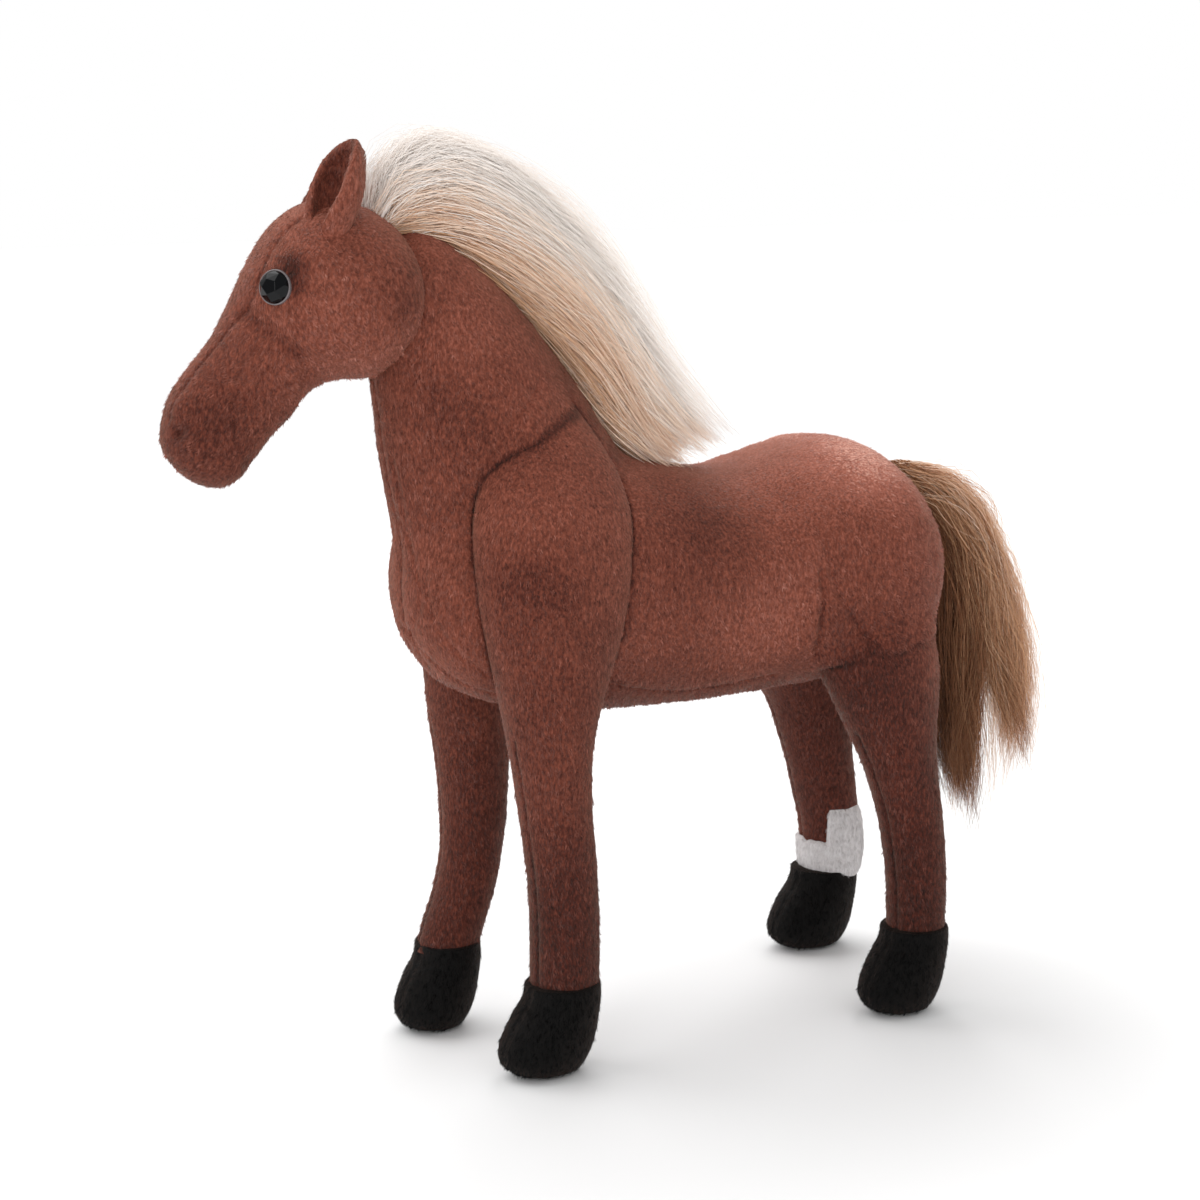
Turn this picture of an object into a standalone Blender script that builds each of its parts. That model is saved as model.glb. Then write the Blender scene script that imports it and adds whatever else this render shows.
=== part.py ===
"""A sewn plush horse: fabric skins over stuffing, with a sprung head, ears, tail and legs.

The horse stands on the floor at z = 0, faces -Y, and has its left side at +X.
"""
import math

import bmesh
import bpy
from mathutils import Matrix, Vector

# Driving sizes of the whole animal
stand_height = 0.167
trunk_length = 0.285
trunk_depth = 0.124
trunk_width = 0.120
trunk_front = -0.122
belly_drop = 0.017
neck_run = 0.122
neck_rise = 0.168
neck_width = 0.088
head_length = 0.108
head_depth = 0.116
head_width = 0.065
shoulder_height = 0.124
shoulder_length = 0.072
shoulder_width = 0.046
shoulder_spread = 0.036
thigh_spread = 0.040
fore_leg_radius = 0.020
hind_leg_radius = 0.028
hind_leg_width = 0.044
hoof_length = 0.042
hoof_width = 0.036
hoof_height = 0.039
ear_height = 0.038
ear_width = 0.027
eye_diameter = 0.016
mane_run = 0.160
mane_rise = 0.146
mane_width = 0.036
tail_run = 0.080
tail_drop = 0.172
tail_width = 0.042

# Fabric, clearances and how far each limb bends
skin = 0.0016
gap = 0.0003
filling_gap = 0.0010
overrun = 0.3
swing_gap = 0.0008
fold_gap = 0.00085
leg_swing = math.radians(10)
head_rest_turn = math.radians(-14)
tail_lift = math.radians(50)

# Places that follow from the driving sizes
belly_z = stand_height - belly_drop
fore_y = trunk_front + 0.182 * trunk_length
hind_y = trunk_front + 0.782 * trunk_length
neck_foot = Vector((0, trunk_front, belly_z + 0.39 * trunk_depth))
head_pivot = Vector((0, trunk_front - 0.16 * neck_run, neck_foot.z + 0.82 * neck_rise))
dock = Vector((0, trunk_front + 0.927 * trunk_length, belly_z + 0.80 * trunk_depth))

for old in list(bpy.data.objects):
    bpy.data.objects.remove(old, do_unlink=True)


def new_collection(name):
    collection = bpy.data.collections.new(name)
    bpy.context.scene.collection.children.link(collection)
    return collection


parts = new_collection("plush_horse")
cutters = new_collection("cutters")


def cloth_material(name, colour, roughness):
    material = bpy.data.materials.new(name)
    material.use_nodes = True
    shader = material.node_tree.nodes["Principled BSDF"]
    shader.inputs["Base Color"].default_value = (*colour, 1)
    shader.inputs["Roughness"].default_value = roughness
    shader.inputs["Metallic"].default_value = 0
    return material


brown_plush = cloth_material("brown_plush", (0.205, 0.062, 0.039), 0.9)
black_plush = cloth_material("black_plush", (0.006, 0.006, 0.007), 0.9)
white_plush = cloth_material("white_plush", (0.80, 0.79, 0.77), 0.9)
cream_hair = cloth_material("cream_hair", (0.60, 0.43, 0.26), 0.7)
tan_hair = cloth_material("tan_hair", (0.36, 0.21, 0.10), 0.7)
polyester_filling = cloth_material("polyester_filling", (0.85, 0.85, 0.83), 1.0)
eye_plastic = cloth_material("eye_plastic", (0.01, 0.01, 0.012), 0.1)
washer_plastic = cloth_material("washer_plastic", (0.75, 0.75, 0.75), 0.4)
backing_cloth = cloth_material("backing_cloth", (0.30, 0.14, 0.08), 0.9)


def empty(name, location, turn=(0, 0, 0), parent=None):
    holder = bpy.data.objects.new(name, None)
    holder.location = location
    holder.rotation_euler = turn
    holder.parent = parent
    cutters.objects.link(holder)
    return holder


def place(name, mesh, material=None, parent=None, location=(0, 0, 0), turn=(0, 0, 0)):
    """Link a mesh as a part when it has a material, and as a cutter when it has none."""
    thing = bpy.data.objects.new(name, mesh)
    thing.location = location
    thing.rotation_euler = turn
    thing.parent = parent
    if material:
        mesh.materials.append(material)
        parts.objects.link(thing)
    else:
        thing.hide_render = True
        thing.display_type = "WIRE"
        cutters.objects.link(thing)
    return thing


def cut(thing, *tools, operation="DIFFERENCE", solver="EXACT"):
    for tool in tools:
        boolean = thing.modifiers.new(operation.lower(), "BOOLEAN")
        boolean.operation = operation
        boolean.solver = solver
        boolean.object = tool


def box(name, low, high):
    mesh = bpy.data.meshes.new(name)
    bm = bmesh.new()
    bmesh.ops.create_cube(bm, size=1)
    size = Vector(high) - Vector(low)
    centre = (Vector(high) + Vector(low)) / 2
    bmesh.ops.transform(bm, matrix=Matrix.Translation(centre) @ Matrix.Diagonal((*size, 1)), verts=bm.verts)
    bm.to_mesh(mesh)
    bm.free()
    return mesh


def loft(name, rings, sides, swell=1.0):
    """Bridge oval rings given as front point, back point, half width and middle x."""
    mesh = bpy.data.meshes.new(name)
    bm = bmesh.new()
    step = 2 * math.pi / sides
    rows = []
    for front, back, half_width, middle_x in rings:
        middle = (Vector((middle_x, *front)) + Vector((middle_x, *back))) / 2
        reach = (Vector((0, *back)) - Vector((0, *front))) / 2
        row = []
        for index in range(sides):
            angle = (index + 0.5) * step
            side = Vector((half_width * math.sin(angle), 0, 0))
            row.append(bm.verts.new(middle + swell * (reach * math.cos(angle) + side)))
        rows.append(row)
    for lower, upper in zip(rows, rows[1:]):
        for index in range(sides):
            after = (index + 1) % sides
            bm.faces.new((lower[index], lower[after], upper[after], upper[index]))
    bm.faces.new(list(reversed(rows[0])))
    bm.faces.new(rows[-1])
    bmesh.ops.recalc_face_normals(bm, faces=bm.faces)
    bm.to_mesh(mesh)
    bm.free()
    return mesh


class Form:
    """One stuffed form: a cage that can be made as a skin, a filling or a cutter."""

    def __init__(self, name, rings, sides, parent=None, location=(0, 0, 0)):
        self.name = name
        self.rings = rings
        self.sides = sides
        self.parent = parent
        self.location = location

    def solid(self, name, grow=0.0, material=None):
        """The smooth form; its cage is wider by what subdivision draws in."""
        swell = 1 / (2 / 3 + math.cos(2 * math.pi / self.sides) / 3)
        mesh = loft(name, self.rings, self.sides, swell)
        thing = place(name, mesh, material, self.parent, self.location)
        smooth = thing.modifiers.new("smooth", "SUBSURF")
        smooth.levels = 1
        smooth.render_levels = 1
        if grow:
            self.displace(thing, grow)
        return thing

    def displace(self, thing, grow):
        swell = thing.modifiers.new("swell", "DISPLACE")
        swell.strength = grow
        swell.mid_level = 0

    def core(self, name, grow, material=None):
        """The plain inside of the form, through the places where the smooth rings settle."""
        rows = []
        for before, row, after in zip(self.rings, self.rings[1:], self.rings[2:]):
            front = (Vector(before[0]) + 4 * Vector(row[0]) + Vector(after[0])) / 6
            back = (Vector(before[1]) + 4 * Vector(row[1]) + Vector(after[1])) / 6
            half_width = (before[2] + 4 * row[2] + after[2]) / 6
            middle_x = (before[3] + 4 * row[3] + after[3]) / 6
            rows.append((tuple(front), tuple(back), half_width, middle_x))
        mesh = loft(name, rows, self.sides)
        thing = place(name, mesh, material, self.parent, self.location)
        self.displace(thing, grow)
        return thing

    def cutter(self, label, grow):
        return self.solid(f"{self.name}_{label}", grow)

    def skin(self, name, material, grow=0.0, solver="EXACT"):
        thing = self.solid(name, grow, material)
        cut(thing, self.inside, solver=solver)
        return thing

    def filling(self, name):
        return self.core(name, -(skin + filling_gap), polyester_filling)

    def prepare(self):
        self.inside = self.cutter("inside", -skin)
        self.around = self.cutter("around", gap)


def form(name, rings, sides, parent=None, location=(0, 0, 0)):
    made = Form(name, rings, sides, parent, location)
    made.prepare()
    return made


half_gap = gap / 2
right_half = place(
    "right_half", box("right_half", (-overrun, -overrun, -overrun), (half_gap, overrun, overrun * 2)))
left_half = place(
    "left_half", box("left_half", (-half_gap, -overrun, -overrun), (overrun, overrun, overrun * 2)))
under_floor = place("under_floor", box("under_floor", (-overrun, -overrun, -overrun), (overrun, overrun, 0)))
below_sole = place("below_sole", box("below_sole", (-overrun, -overrun, -overrun), (overrun, overrun, skin)))

# Trunk: one form from chest to rump
# Each row is along, low and high, then half width, as shares of length, depth and half width
trunk_shares = (
    (0.010, 0.34, 0.66, 0.36),
    (0.065, 0.13, 0.85, 0.66),
    (0.190, 0.01, 0.98, 0.80),
    (0.360, -0.02, 0.98, 0.84),
    (0.550, -0.02, 0.86, 0.86),
    (0.740, 0.00, 0.93, 0.98),
    (0.880, 0.00, 0.88, 1.00),
    (0.960, 0.08, 0.71, 0.78),
    (0.996, 0.26, 0.52, 0.36),
)
trunk_rings = []
for along, low, high, half in trunk_shares:
    ring_y = trunk_front + along * trunk_length
    low_point = (ring_y, belly_z + low * trunk_depth)
    high_point = (ring_y, belly_z + high * trunk_depth)
    trunk_rings.append((low_point, high_point, half * trunk_width / 2, 0))
trunk = form("trunk", trunk_rings, 10)

# Neck: from the chest up to the poll
# Each row is front run, front rise, back run, back rise, half width
neck_shares = (
    (0.06, -0.10, 1.04, 0.26, 0.92),
    (0.02, 0.10, 0.88, 0.45, 1.00),
    (-0.01, 0.32, 0.62, 0.65, 0.80),
    (-0.03, 0.50, 0.40, 0.81, 0.67),
    (-0.06, 0.66, 0.19, 0.95, 0.58),
    (-0.10, 0.76, 0.04, 1.01, 0.46),
)
neck_rings = []
for front_run, front_rise, back_run, back_rise, half in neck_shares:
    front = (neck_foot.y + front_run * neck_run, neck_foot.z + front_rise * neck_rise)
    back = (neck_foot.y + back_run * neck_run, neck_foot.z + back_rise * neck_rise)
    neck_rings.append((front, back, half * neck_width / 2, 0))
neck = form("neck", neck_rings, 8)

# Head: modelled about its pivot, then turned to the horse's right
# Each row is top forward, top up, under forward, under up, half width
head_shares = (
    (-0.298, 0.10, -0.298, -0.10, 0.33),
    (-0.228, 0.24, -0.238, -0.23, 0.68),
    (-0.05, 0.345, -0.07, -0.335, 0.95),
    (0.17, 0.345, 0.12, -0.35, 1.00),
    (0.36, 0.20, 0.24, -0.42, 0.80),
    (0.51, -0.09, 0.355, -0.555, 0.58),
    (0.67, -0.31, 0.47, -0.66, 0.52),
    (0.735, -0.47, 0.63, -0.63, 0.34),
)
head_holder = empty("head_turn", head_pivot, (0, 0, head_rest_turn))
head_rings = []
for top_run, top_rise, under_run, under_rise, half in head_shares:
    under = (-under_run * head_length, under_rise * head_depth)
    top = (-top_run * head_length, top_rise * head_depth)
    head_rings.append((under, top, half * head_width / 2, 0))
head = form("head", head_rings, 8, head_holder)
head_back_height = 0.345 * head_depth
turn_gap = 0.0008
ball_segments = 24


def ball(name, radii, location):
    """A closed oval ball that turns freely inside itself about its own upright axis."""
    mesh = bpy.data.meshes.new(name)
    bm = bmesh.new()
    bmesh.ops.create_uvsphere(bm, u_segments=ball_segments, v_segments=14, radius=1)
    bmesh.ops.scale(bm, vec=radii, verts=bm.verts)
    bm.to_mesh(mesh)
    bm.free()
    return place(name, mesh, location=location, turn=(0, 0, math.pi / ball_segments))


head_reach = head_width / 2 + turn_gap
head_socket = ball("head_socket", (head_reach, head_reach, head_back_height + turn_gap), head_pivot)

# Legs: each hangs from a hinge, with a rounded knuckle above it
# Each row is height, set back and half depth, half width and spread
fore_left_shares = (
    (0.97, 0.000, 0.99, 0.98, 0.00),
    (0.80, 0.006, 0.90, 0.88, 0.02),
    (0.60, 0.028, 0.80, 0.78, 0.05),
    (0.38, 0.042, 0.77, 0.75, 0.06),
    (0.16, 0.042, 0.76, 0.74, 0.06),
)
fore_right_shares = (
    (0.97, 0.000, 0.99, 0.98, 0.00),
    (0.80, 0.003, 0.90, 0.88, 0.02),
    (0.60, 0.006, 0.77, 0.75, 0.03),
    (0.38, -0.034, 0.73, 0.71, 0.03),
    (0.16, -0.092, 0.71, 0.70, 0.03),
)
hind_left_shares = (
    (0.97, 0.000, 0.99, 0.99, 0.00),
    (0.80, 0.028, 0.80, 0.86, 0.08),
    (0.62, 0.058, 0.61, 0.70, 0.16),
    (0.40, 0.090, 0.53, 0.64, 0.22),
    (0.16, 0.096, 0.51, 0.63, 0.23),
)
hind_right_shares = (
    (0.97, 0.004, 0.99, 0.99, 0.00),
    (0.80, 0.070, 0.80, 0.86, 0.08),
    (0.62, 0.132, 0.61, 0.70, 0.18),
    (0.40, 0.198, 0.54, 0.65, 0.25),
    (0.16, 0.212, 0.53, 0.65, 0.26),
)
# Each hoof row is height, forward set, half depth and half width
hoof_shares = (
    (1.45, 0.00, 0.76, 0.86),
    (0.75, 0.07, 0.88, 0.92),
    (0.32, 0.19, 1.05, 1.05),
    (-0.08, 0.20, 0.74, 0.74),
)
knuckle_shares = (0.92, 0.55)
# Each socket row is depth below the hinge and the spare room there, in leg radii
socket_shares = ((-0.20, 0.02), (0.40, 0.05), (1.60, 0.06))


def knuckle_rings(radius, width):
    rings = []
    for share in knuckle_shares:
        up = share * radius
        reach = math.sqrt(radius ** 2 - up ** 2)
        rings.append(((-reach, up), (reach, up), width / 2 * reach / radius, 0))
    return rings


def leg_rings(side, table, radius, width):
    rings = knuckle_rings(radius, width)
    for height, back, depth, half, spread in table:
        up = (height - 1) * stand_height
        middle = back * stand_height
        reach = depth * radius
        middle_x = side * spread * thigh_spread
        rings.append(((middle - reach, up), (middle + reach, up), half * width / 2, middle_x))
    return rings


def socket_rings(radius, width):
    """Room for the knuckle, widening below it by what the leg's swing needs."""
    rings = knuckle_rings(radius, width)
    for depth, room in socket_shares:
        reach = (1 + room + max(0, depth) * math.tan(leg_swing)) * radius
        rings.append(((-reach, -depth * radius), (reach, -depth * radius), width / 2, 0))
    return rings


def hoof_rings(shank_rings):
    """The hoof's top follows the shank, and its toe is set forward of the shank's end."""
    upper, lower = shank_rings[-2:]
    upper_middle = (Vector(upper[0]) + Vector(upper[1])) / 2
    lower_middle = (Vector(lower[0]) + Vector(lower[1])) / 2
    rings = []
    for height, forward, depth, half in hoof_shares:
        up = height * hoof_height - stand_height
        part = max(0, (up - lower_middle.y) / (upper_middle.y - lower_middle.y))
        middle = lower_middle.lerp(upper_middle, part).x - forward * hoof_length
        middle_x = lower[3] + part * (upper[3] - lower[3])
        reach = depth * hoof_length / 2
        rings.append(((middle - reach, up), (middle + reach, up), half * hoof_width / 2, middle_x))
    return rings


leg_table = (
    ("fore_left", 1, fore_y, shoulder_spread, fore_left_shares, fore_leg_radius, 2 * fore_leg_radius),
    ("fore_right", -1, fore_y, shoulder_spread, fore_right_shares, fore_leg_radius, 2 * fore_leg_radius),
    ("hind_left", 1, hind_y, thigh_spread, hind_left_shares, hind_leg_radius, hind_leg_width),
    ("hind_right", -1, hind_y, thigh_spread, hind_right_shares, hind_leg_radius, hind_leg_width),
)
sock_top = 0.42 * stand_height
sock_puff = 0.0008
above_hoof = place(
    "above_hoof", box("above_hoof", (-overrun, -overrun, hoof_height), (overrun, overrun, overrun * 2)))
leg_end = hoof_height + gap
below_leg = place("below_leg", box("below_leg", (-overrun, -overrun, -overrun), (overrun, overrun, leg_end)))
sock_bottom = sock_top + gap
below_sock_top = place(
    "below_sock_top", box("below_sock_top", (-overrun, -overrun, -overrun), (overrun, overrun, sock_bottom)))
above_sock = place(
    "above_sock", box("above_sock", (-overrun, -overrun, sock_top), (overrun, overrun, overrun * 2)))

leg_tail = 0.6 * hoof_height
ankle_share = 0.66
toe_share = 0.55


def lowered(ring, drop):
    front, back, half_width, middle_x = ring
    return ((front[0], front[1] - drop), (back[0], back[1] - drop), half_width, middle_x)


def between(upper, lower, part):
    front = Vector(upper[0]).lerp(Vector(lower[0]), part)
    back = Vector(upper[1]).lerp(Vector(lower[1]), part)
    half_width = upper[2] + part * (lower[2] - upper[2])
    return (tuple(front), tuple(back), half_width, upper[3] + part * (lower[3] - upper[3]))


leg_sockets = {}
filling_rooms = {}
for name, side, leg_y, spread, table, radius, width in leg_table:
    hinge = Vector((side * spread, leg_y, stand_height))
    shank_rings = leg_rings(side, table, radius, width)
    leg = form(f"leg_{name}", shank_rings + [lowered(shank_rings[-1], leg_tail)], 6, location=hinge)
    toe_rings = hoof_rings(shank_rings)
    hoof = form(f"hoof_{name}", toe_rings, 6, location=hinge)
    socket = Form(f"socket_{name}", socket_rings(radius, width), 6, location=hinge)
    leg_sockets[name] = socket.cutter("room", swing_gap)
    filling_rooms[name] = socket.cutter("filling_room", swing_gap + filling_gap)

    leg_skin = leg.skin(f"leg_skin_{name}", brown_plush)
    if name == "hind_right":
        cut(leg_skin, below_sock_top)
        sock = leg.skin("sock_hind_right", white_plush, sock_puff)
        cut(sock, above_sock, below_leg)
    else:
        cut(leg_skin, below_leg)
    hoof_skin = hoof.skin(f"hoof_{name}", black_plush)
    cut(hoof_skin, above_hoof, under_floor)
    cut(hoof.inside, below_sole)

    ankle = between(shank_rings[-2], shank_rings[-1], ankle_share)
    toe = between(toe_rings[2], toe_rings[3], toe_share)
    limb_rings = shank_rings[:-1] + [ankle, shank_rings[-1], toe_rings[2], toe, toe_rings[3]]
    limb = Form(f"limb_{name}", limb_rings, 6, location=hinge)
    limb.filling(f"leg_stuffing_{name}")

# Shoulders: stuffed pads sewn on the sides of the trunk, narrowing into the forelegs
# Each row is height, forward set, half length, half width and spread
shoulder_shares = (
    (0.030, 0.00, 0.64, 0.92, 1.00),
    (0.240, 0.03, 0.84, 0.97, 1.00),
    (0.500, 0.04, 1.02, 1.00, 0.99),
    (0.760, -0.01, 0.88, 0.84, 0.92),
    (0.930, -0.07, 0.52, 0.50, 0.80),
    (1.000, -0.10, 0.22, 0.24, 0.74),
)
shoulders = {}
for name, side in (("left", 1), ("right", -1)):
    rings = []
    for height, forward, depth, half, spread in shoulder_shares:
        up = stand_height + height * shoulder_height
        middle = fore_y - forward * shoulder_length
        reach = depth * shoulder_length / 2
        middle_x = side * spread * shoulder_spread
        rings.append(((middle - reach, up), (middle + reach, up), half * shoulder_width / 2, middle_x))
    shoulder = form(f"shoulder_{name}", rings, 6)
    shoulders[name] = shoulder
    shoulder_skin = shoulder.skin(f"shoulder_skin_{name}", brown_plush)
    cut(shoulder_skin, trunk.around, neck.around, leg_sockets[f"fore_{name}"])
    shoulder_filling = shoulder.filling(f"shoulder_stuffing_{name}")
    cut(shoulder_filling, trunk.around, neck.around, filling_rooms[f"fore_{name}"], solver="MANIFOLD")

# Trunk skin: two side panels and a belly gusset, over one mass of stuffing
gusset_width = 0.030
gusset_front = fore_y + 1.5 * fore_leg_radius
gusset_back = hind_y - 1.5 * hind_leg_radius
gusset_top = belly_z + 0.3 * trunk_depth
gusset_hole = place("gusset_hole", box(
    "gusset_hole",
    (-gusset_width / 2 - gap, gusset_front - gap, -overrun),
    (gusset_width / 2 + gap, gusset_back + gap, gusset_top)))
gusset_block = place("gusset_block", box(
    "gusset_block",
    (-gusset_width / 2, gusset_front, -overrun),
    (gusset_width / 2, gusset_back, gusset_top)))
for name, other_half in (("left", right_half), ("right", left_half)):
    panel = trunk.skin(f"trunk_panel_{name}", brown_plush)
    cut(panel, other_half, gusset_hole, leg_sockets[f"fore_{name}"], leg_sockets[f"hind_{name}"])
belly = trunk.solid("belly_gusset", material=brown_plush)
cut(belly, gusset_block, operation="INTERSECT")
cut(belly, trunk.inside)
trunk_filling = trunk.filling("trunk_stuffing")
cut(trunk_filling, *filling_rooms.values())

# Neck skin: two panels seamed along the throat and the crest
for name, other_half in (("left", right_half), ("right", left_half)):
    panel = neck.skin(f"neck_panel_{name}", brown_plush, solver="MANIFOLD")
    cut(panel, trunk.around, head_socket, other_half, solver="MANIFOLD")
neck_filling = neck.filling("neck_stuffing")
cut(neck_filling, trunk.around, head_socket)

# Head skin: two cheek panels and a gusset down the middle of the face
face_width = 0.34 * head_width
face_slope = math.radians(43)
face_back = 0.20 * head_length
face_start = Vector((0, 0, 0.08 * head_depth))
face_hole = place("face_hole", box(
    "face_hole",
    (-face_width / 2 - gap, -overrun, -gap),
    (face_width / 2 + gap, face_back + gap, overrun)),
    parent=head_holder, location=face_start, turn=(face_slope, 0, 0))
face_block = place("face_block", box(
    "face_block",
    (-face_width / 2, -overrun, 0),
    (face_width / 2, face_back, overrun)),
    parent=head_holder, location=face_start, turn=(face_slope, 0, 0))
head_right_half = place(
    "head_right_half", box("head_right_half", (-overrun, -overrun, -overrun), (half_gap, overrun, overrun)),
    parent=head_holder)
head_left_half = place(
    "head_left_half", box("head_left_half", (-half_gap, -overrun, -overrun), (overrun, overrun, overrun)),
    parent=head_holder)

# Eyes: a domed button with a stem through the skin and a washer pushed on inside
eye_run = 0.295 * head_length
eye_rise = 0.055 * head_depth
eye_side = 0.37 * head_width
eye_dome_height = 0.33 * eye_diameter
stem_radius = 0.0020
stem_length = 0.0110
washer_radius = 0.0065
washer_thickness = 0.0012
washer_depth = 0.0048
eye_steps = 4


def turned(name, outline, location, turn, material=None, segments=16):
    """A profile of radius and height, spun about its own z axis by a Screw modifier."""
    mesh = bpy.data.meshes.new(name)
    bm = bmesh.new()
    points = [bm.verts.new((radius, 0, height)) for radius, height in outline]
    for upper, lower in zip(points, points[1:]):
        bm.edges.new((upper, lower))
    bm.to_mesh(mesh)
    bm.free()
    thing = place(name, mesh, material, head_holder, location, turn)
    screw = thing.modifiers.new("screw", "SCREW")
    screw.steps = segments
    screw.render_steps = segments
    screw.use_merge_vertices = True
    screw.merge_threshold = 0.00001
    return thing


def washer_outline(clearance):
    low = -washer_depth - washer_thickness / 2 - clearance
    high = -washer_depth + washer_thickness / 2 + clearance
    outer = washer_radius + clearance
    return ((0, high), (outer, high), (outer, low), (0, low))


def stem_outline(clearance):
    radius = stem_radius + clearance
    return ((0, eye_dome_height / 2), (radius, eye_dome_height / 2),
            (radius, -stem_length - clearance), (0, -stem_length - clearance))


dome_outline = []
for step in range(eye_steps + 1):
    angle = math.pi / 2 * (1 - step / eye_steps)
    dome_outline.append((eye_diameter / 2 * math.cos(angle), eye_dome_height * math.sin(angle)))
dome_outline.append((eye_diameter / 2, -washer_depth / 2))
dome_outline.append((0, -washer_depth / 2))
eye_holes = {}
for name, side in (("left", 1), ("right", -1)):
    seat = Vector((side * eye_side, -eye_run, eye_rise))
    facing = (math.radians(78), 0, side * math.radians(66))
    eye = turned(f"eye_{name}", dome_outline, seat, facing, eye_plastic)
    cut(eye, head.around)
    stem = turned(f"stem_{name}", stem_outline(0), seat, facing, segments=8)
    cut(eye, stem, operation="UNION")
    washer = turned(f"eye_washer_{name}", washer_outline(0), seat, facing, washer_plastic)
    stem_hole = turned(f"stem_hole_{name}", stem_outline(gap), seat, facing, segments=8)
    washer_hole = turned(f"washer_hole_{name}", washer_outline(gap), seat, facing)
    cut(washer, stem_hole)
    eye_holes[name] = (stem_hole, washer_hole)

for name, other_half in (("left", head_right_half), ("right", head_left_half)):
    panel = head.skin(f"head_panel_{name}", brown_plush)
    cut(panel, other_half, face_hole, *eye_holes[name])
face = head.solid("face_gusset", material=brown_plush)
cut(face, face_block, operation="INTERSECT")
cut(face, head.inside)
head_filling = head.filling("head_stuffing")
for holes in eye_holes.values():
    cut(head_filling, *holes, solver="MANIFOLD")

# Ears: a cupped outer petal with a lining inside it, hinged at the front of its base
ear_shares = (
    (-0.22, 0.74, 0.44),
    (0.20, 1.00, 0.50),
    (0.55, 0.94, 0.40),
    (0.84, 0.58, 0.24),
    (1.00, 0.12, 0.10),
)
ear_wall = 0.0020
lining_wall = 0.0014
ear_front = 0.10 * head_length
ear_side = 0.24 * head_width
ear_seat = 0.30 * head_depth
ear_roll = math.radians(16)
ear_yaw = math.radians(24)
ear_arc_steps = 6


def ear_sheet(name, inset, wall, material, parent):
    """A cupped petal: arcs that open forward, narrowing to a tip, thickened inward."""
    mesh = bpy.data.meshes.new(name)
    bm = bmesh.new()
    rows = []
    for height, half, deep in ear_shares:
        radius = half * ear_width / 2 - inset
        depth = deep * ear_width - inset
        row = []
        for index in range(ear_arc_steps + 1):
            angle = math.pi * index / ear_arc_steps
            row.append(bm.verts.new((
                radius * math.cos(angle),
                depth * math.sin(angle),
                height * (ear_height - inset))))
        rows.append(row)
    for lower, upper in zip(rows, rows[1:]):
        for index in range(ear_arc_steps):
            bm.faces.new((lower[index], lower[index + 1], upper[index + 1], upper[index]))
    bm.to_mesh(mesh)
    bm.free()
    thing = place(name, mesh, material, parent)
    thicken = thing.modifiers.new("thicken", "SOLIDIFY")
    thicken.thickness = wall
    thicken.offset = -1
    return thing


ear_sweep = head.cutter("ear_sweep", fold_gap)
for name, side in (("left", 1), ("right", -1)):
    ear_place = (side * ear_side, -ear_front, ear_seat)
    ear_holder = empty(f"ear_{name}_fold", ear_place, (0, side * ear_roll, side * ear_yaw), head_holder)
    outer = ear_sheet(f"ear_{name}", 0, ear_wall, brown_plush, ear_holder)
    cut(outer, ear_sweep)
    lining = ear_sheet(f"ear_lining_{name}", ear_wall + gap, lining_wall, brown_plush, ear_holder)
    cut(lining, ear_sweep)

# Mane: long hair on a folded strip that is sewn into the crest seam
# Each row is lower run, lower rise, upper run, upper rise, half width
mane_shares = (
    (0.02, 0.58, -0.02, 0.85, 0.56),
    (0.07, 0.53, 0.11, 0.92, 0.84),
    (0.26, 0.33, 0.37, 0.79, 1.00),
    (0.48, 0.07, 0.61, 0.50, 1.00),
    (0.70, -0.10, 0.81, 0.18, 0.70),
    (0.91, -0.10, 0.96, 0.00, 0.28),
)
mane_start = Vector((0, head_pivot.y + 0.15 * mane_run, belly_z + trunk_depth))
mane_rings = []
for low_run, low_rise, high_run, high_rise, half in mane_shares:
    low = (mane_start.y + low_run * mane_run, mane_start.z + low_rise * mane_rise)
    high = (mane_start.y + high_run * mane_run, mane_start.z + high_rise * mane_rise)
    mane_rings.append((low, high, half * mane_width / 2, 0))
mane = form("mane", mane_rings, 6)
mane_hair = mane.solid("mane_hair", material=cream_hair)
strip_height = 0.007
strip_width = 0.010
strip_shares = (0.88, 0.68, 0.50, 0.32)


def crest_point(share):
    """The point of the crest that lies this share of the way from the foot to the poll."""
    for lower, upper in zip(neck_rings, neck_rings[1:]):
        low_share = (lower[1][1] - neck_foot.z) / neck_rise
        high_share = (upper[1][1] - neck_foot.z) / neck_rise
        if low_share <= share <= high_share:
            part = (share - low_share) / (high_share - low_share)
            return Vector(lower[1]).lerp(Vector(upper[1]), part)
    return Vector(neck_rings[-1][1])


strip_rings = []
for share in strip_shares:
    seat = crest_point(share)
    rise = Vector((neck_rise, neck_run)).normalized() * strip_height
    strip_rings.append((tuple(seat - rise), tuple(seat + rise), strip_width / 2, 0))
strip = form("mane_strip_form", strip_rings, 4)
mane_strip = strip.solid("mane_strip", material=backing_cloth)
cut(mane_strip, neck.around, trunk.around, head_socket)
cut(mane_hair, trunk.around, shoulders["left"].around, shoulders["right"].around)
cut(mane_hair, head_socket, strip.around, neck.cutter("hair_seat", 2 * gap))

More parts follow.
